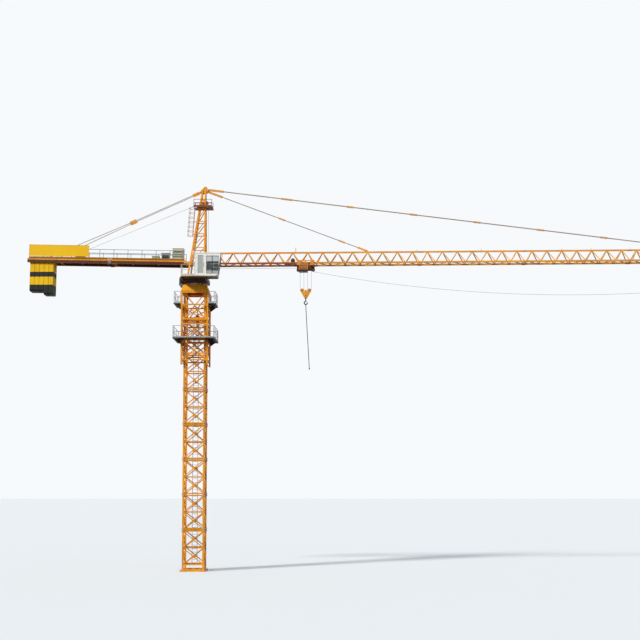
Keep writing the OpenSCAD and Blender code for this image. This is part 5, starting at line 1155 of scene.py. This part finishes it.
for x in (-1, 1):
    for y in (-1, 1):
        block(guards, (x * 0.385, y * 0.331, -0.1), (x * 0.385 - x * 0.008, y * 0.27, -0.07))
        block(guards, (x * 0.3, y * 0.325, -0.075), (x * 0.2, y * 0.331, -0.045))
made("trolley_guards", guards, "trolley", trolley_paint, "steel", 0.001, trolley_place)

BASKET_X, BASKET_Y, BASKET_W, BASKET_L, FLOOR_H = -0.285, -0.6033, 0.26, 0.38, -0.424
WIRE, WIRE_L, WIRE_MID, ROW_LOW = 0.003, 0.36, -0.24, -0.4
right_x, back_y = BASKET_X + BASKET_L, BASKET_Y + BASKET_W
mid_x, mid_y = BASKET_X + BASKET_L / 2, BASKET_Y + BASKET_W / 2
upright, wide, deep = (WIRE, WIRE, WIRE_L), (WIRE_L, WIRE, WIRE), (WIRE, 0.24, WIRE)
wires = [("front_wires", 14, (BASKET_X + 0.025, BASKET_Y + 0.007, WIRE_MID), (0.0253, 0, 0), upright),
         ("back_wires", 14, (BASKET_X + 0.025, back_y - 0.007, WIRE_MID), (0.0253, 0, 0), upright),
         ("left_wires", 9, (BASKET_X + 0.007, BASKET_Y + 0.03, WIRE_MID), (0, 0.025, 0), upright),
         ("right_wires", 9, (right_x - 0.007, BASKET_Y + 0.03, WIRE_MID), (0, 0.025, 0), upright)]
wires += [(title, 12, (x, y, ROW_LOW), (0, 0, 0.029), bar_size)
          for title, x, y, bar_size in (("front_rows", mid_x, BASKET_Y + 0.01, wide),
                                        ("back_rows", mid_x, back_y - 0.01, wide),
                                        ("left_rows", BASKET_X + 0.01, mid_y, deep),
                                        ("right_rows", right_x - 0.01, mid_y, deep))]
for title, count, first, step, bar_size in wires:
    grow("basket_" + title, block_tree, "trolley", basket_paint, "cream_paint", place=trolley_place,
         Count=count, First=first, Step=step, Size=bar_size)
toe = bmesh.new()
gasket(toe, BASKET_X + 0.005, right_x - 0.005, FLOOR_H + 0.001, FLOOR_H + 0.055, BASKET_Y - 0.003,
       0.003, 0.001)
block(toe, (BASKET_X, BASKET_Y - 0.003, FLOOR_H), (right_x, BASKET_Y, FLOOR_H + 0.06))
for x in (0.08, 0.3):
    block(toe, (BASKET_X + x - 0.012, back_y - 0.014, -0.11),
          (BASKET_X + x + 0.012, back_y - 0.001, -0.03))
made("basket_toe_board", toe, "trolley", basket_paint, "cream_paint", 0.001, trolley_place)

# ---- Hook block
# Two yellow cheek plates over two sheaves, bolted through spacers, and a forged crosshead that the hook
# turns in. The hook is forged, painted black and worn bright, and has a spring latch across its mouth.

coat(yellow, "hook_block")
coat(sheave_steel, "block_sheaves")
hook_black = painted("hook_black", (0.012, 0.012, 0.014, 1), 0.6, 0.3, 0.35, 0.3)
coat(hook_black, "lifting_hook", "sling_fitting")
CHEEK_Y = 0.028
block_place = Matrix.Translation((FALL_X, 0, BLOCK_Z))
cheek_bolts = [((x, y * CHEEK_Y, z), (0, y, 0)) for y in (-1, 1)
               for x, z in ((-0.16, 0.055), (-0.16, -0.055), (0.16, 0.055), (0.16, -0.055), (0, 0.0),
                            (-0.05, -0.12), (0.05, -0.12), (-0.045, -0.29), (0.045, -0.29))]
bolts("cheek_bolts", cheek_bolts, "hook", 0.02, 0.008, block_place)
axle_nuts = [((x * FALL_GAP, y * CHEEK_Y, 0), (0, y, 0)) for x in (-1, 1) for y in (-1, 1)]
bolts("axle_nuts", axle_nuts, "hook", 0.034, 0.011, block_place)
spacers = bmesh.new()
for x, z in ((0, 0.0), (-0.05, -0.12), (0.05, -0.12)):
    round_bar(spacers, (x, -CHEEK_Y, z), (x, CHEEK_Y, z), 0.009, 20)
made("cheek_spacers", spacers, "hook", machine_dark, "machine_dark", 0.001, block_place)
rims = bmesh.new()
for x in (-1, 1):
    for y in (-1, 1):
        round_bar(rims, (x * FALL_GAP, y * CHEEK_Y, 0), (x * FALL_GAP, y * (CHEEK_Y + 0.004), 0), 0.04, 36)
made("bearing_caps", rims, "hook", machine_dark, "machine_dark", 0.001, block_place)

latch = bmesh.new()
flat_bar(latch, (FALL_X + 0.02, 0, BLOCK_Z - 0.458), (FALL_X + 0.066, 0, BLOCK_Z - 0.535), 0.006, 0.024)
round_bar(latch, (FALL_X + 0.02, -0.016, BLOCK_Z - 0.458), (FALL_X + 0.02, 0.016, BLOCK_Z - 0.458), 0.007, 20)
round_bar(latch, (FALL_X, 0, BLOCK_Z - 0.345), (FALL_X, 0, BLOCK_Z - 0.327), 0.042, 36)
made("hook_latch", latch, "swivel", machine_dark, "hook_steel", 0.001)
collar = bmesh.new()
end = sling_path[-1]
round_bar(collar, end + Vector((0.0005, 0, -0.012)), end + Vector((0.0012, 0, -0.024)), 0.0255, 32)
round_bar(collar, end + Vector((0.002, 0, -0.042)), end + Vector((0.0027, 0, -0.054)), 0.0255, 32)
made("fitting_rings", collar, "swivel", machine_dark, "hook_steel", 0.001)
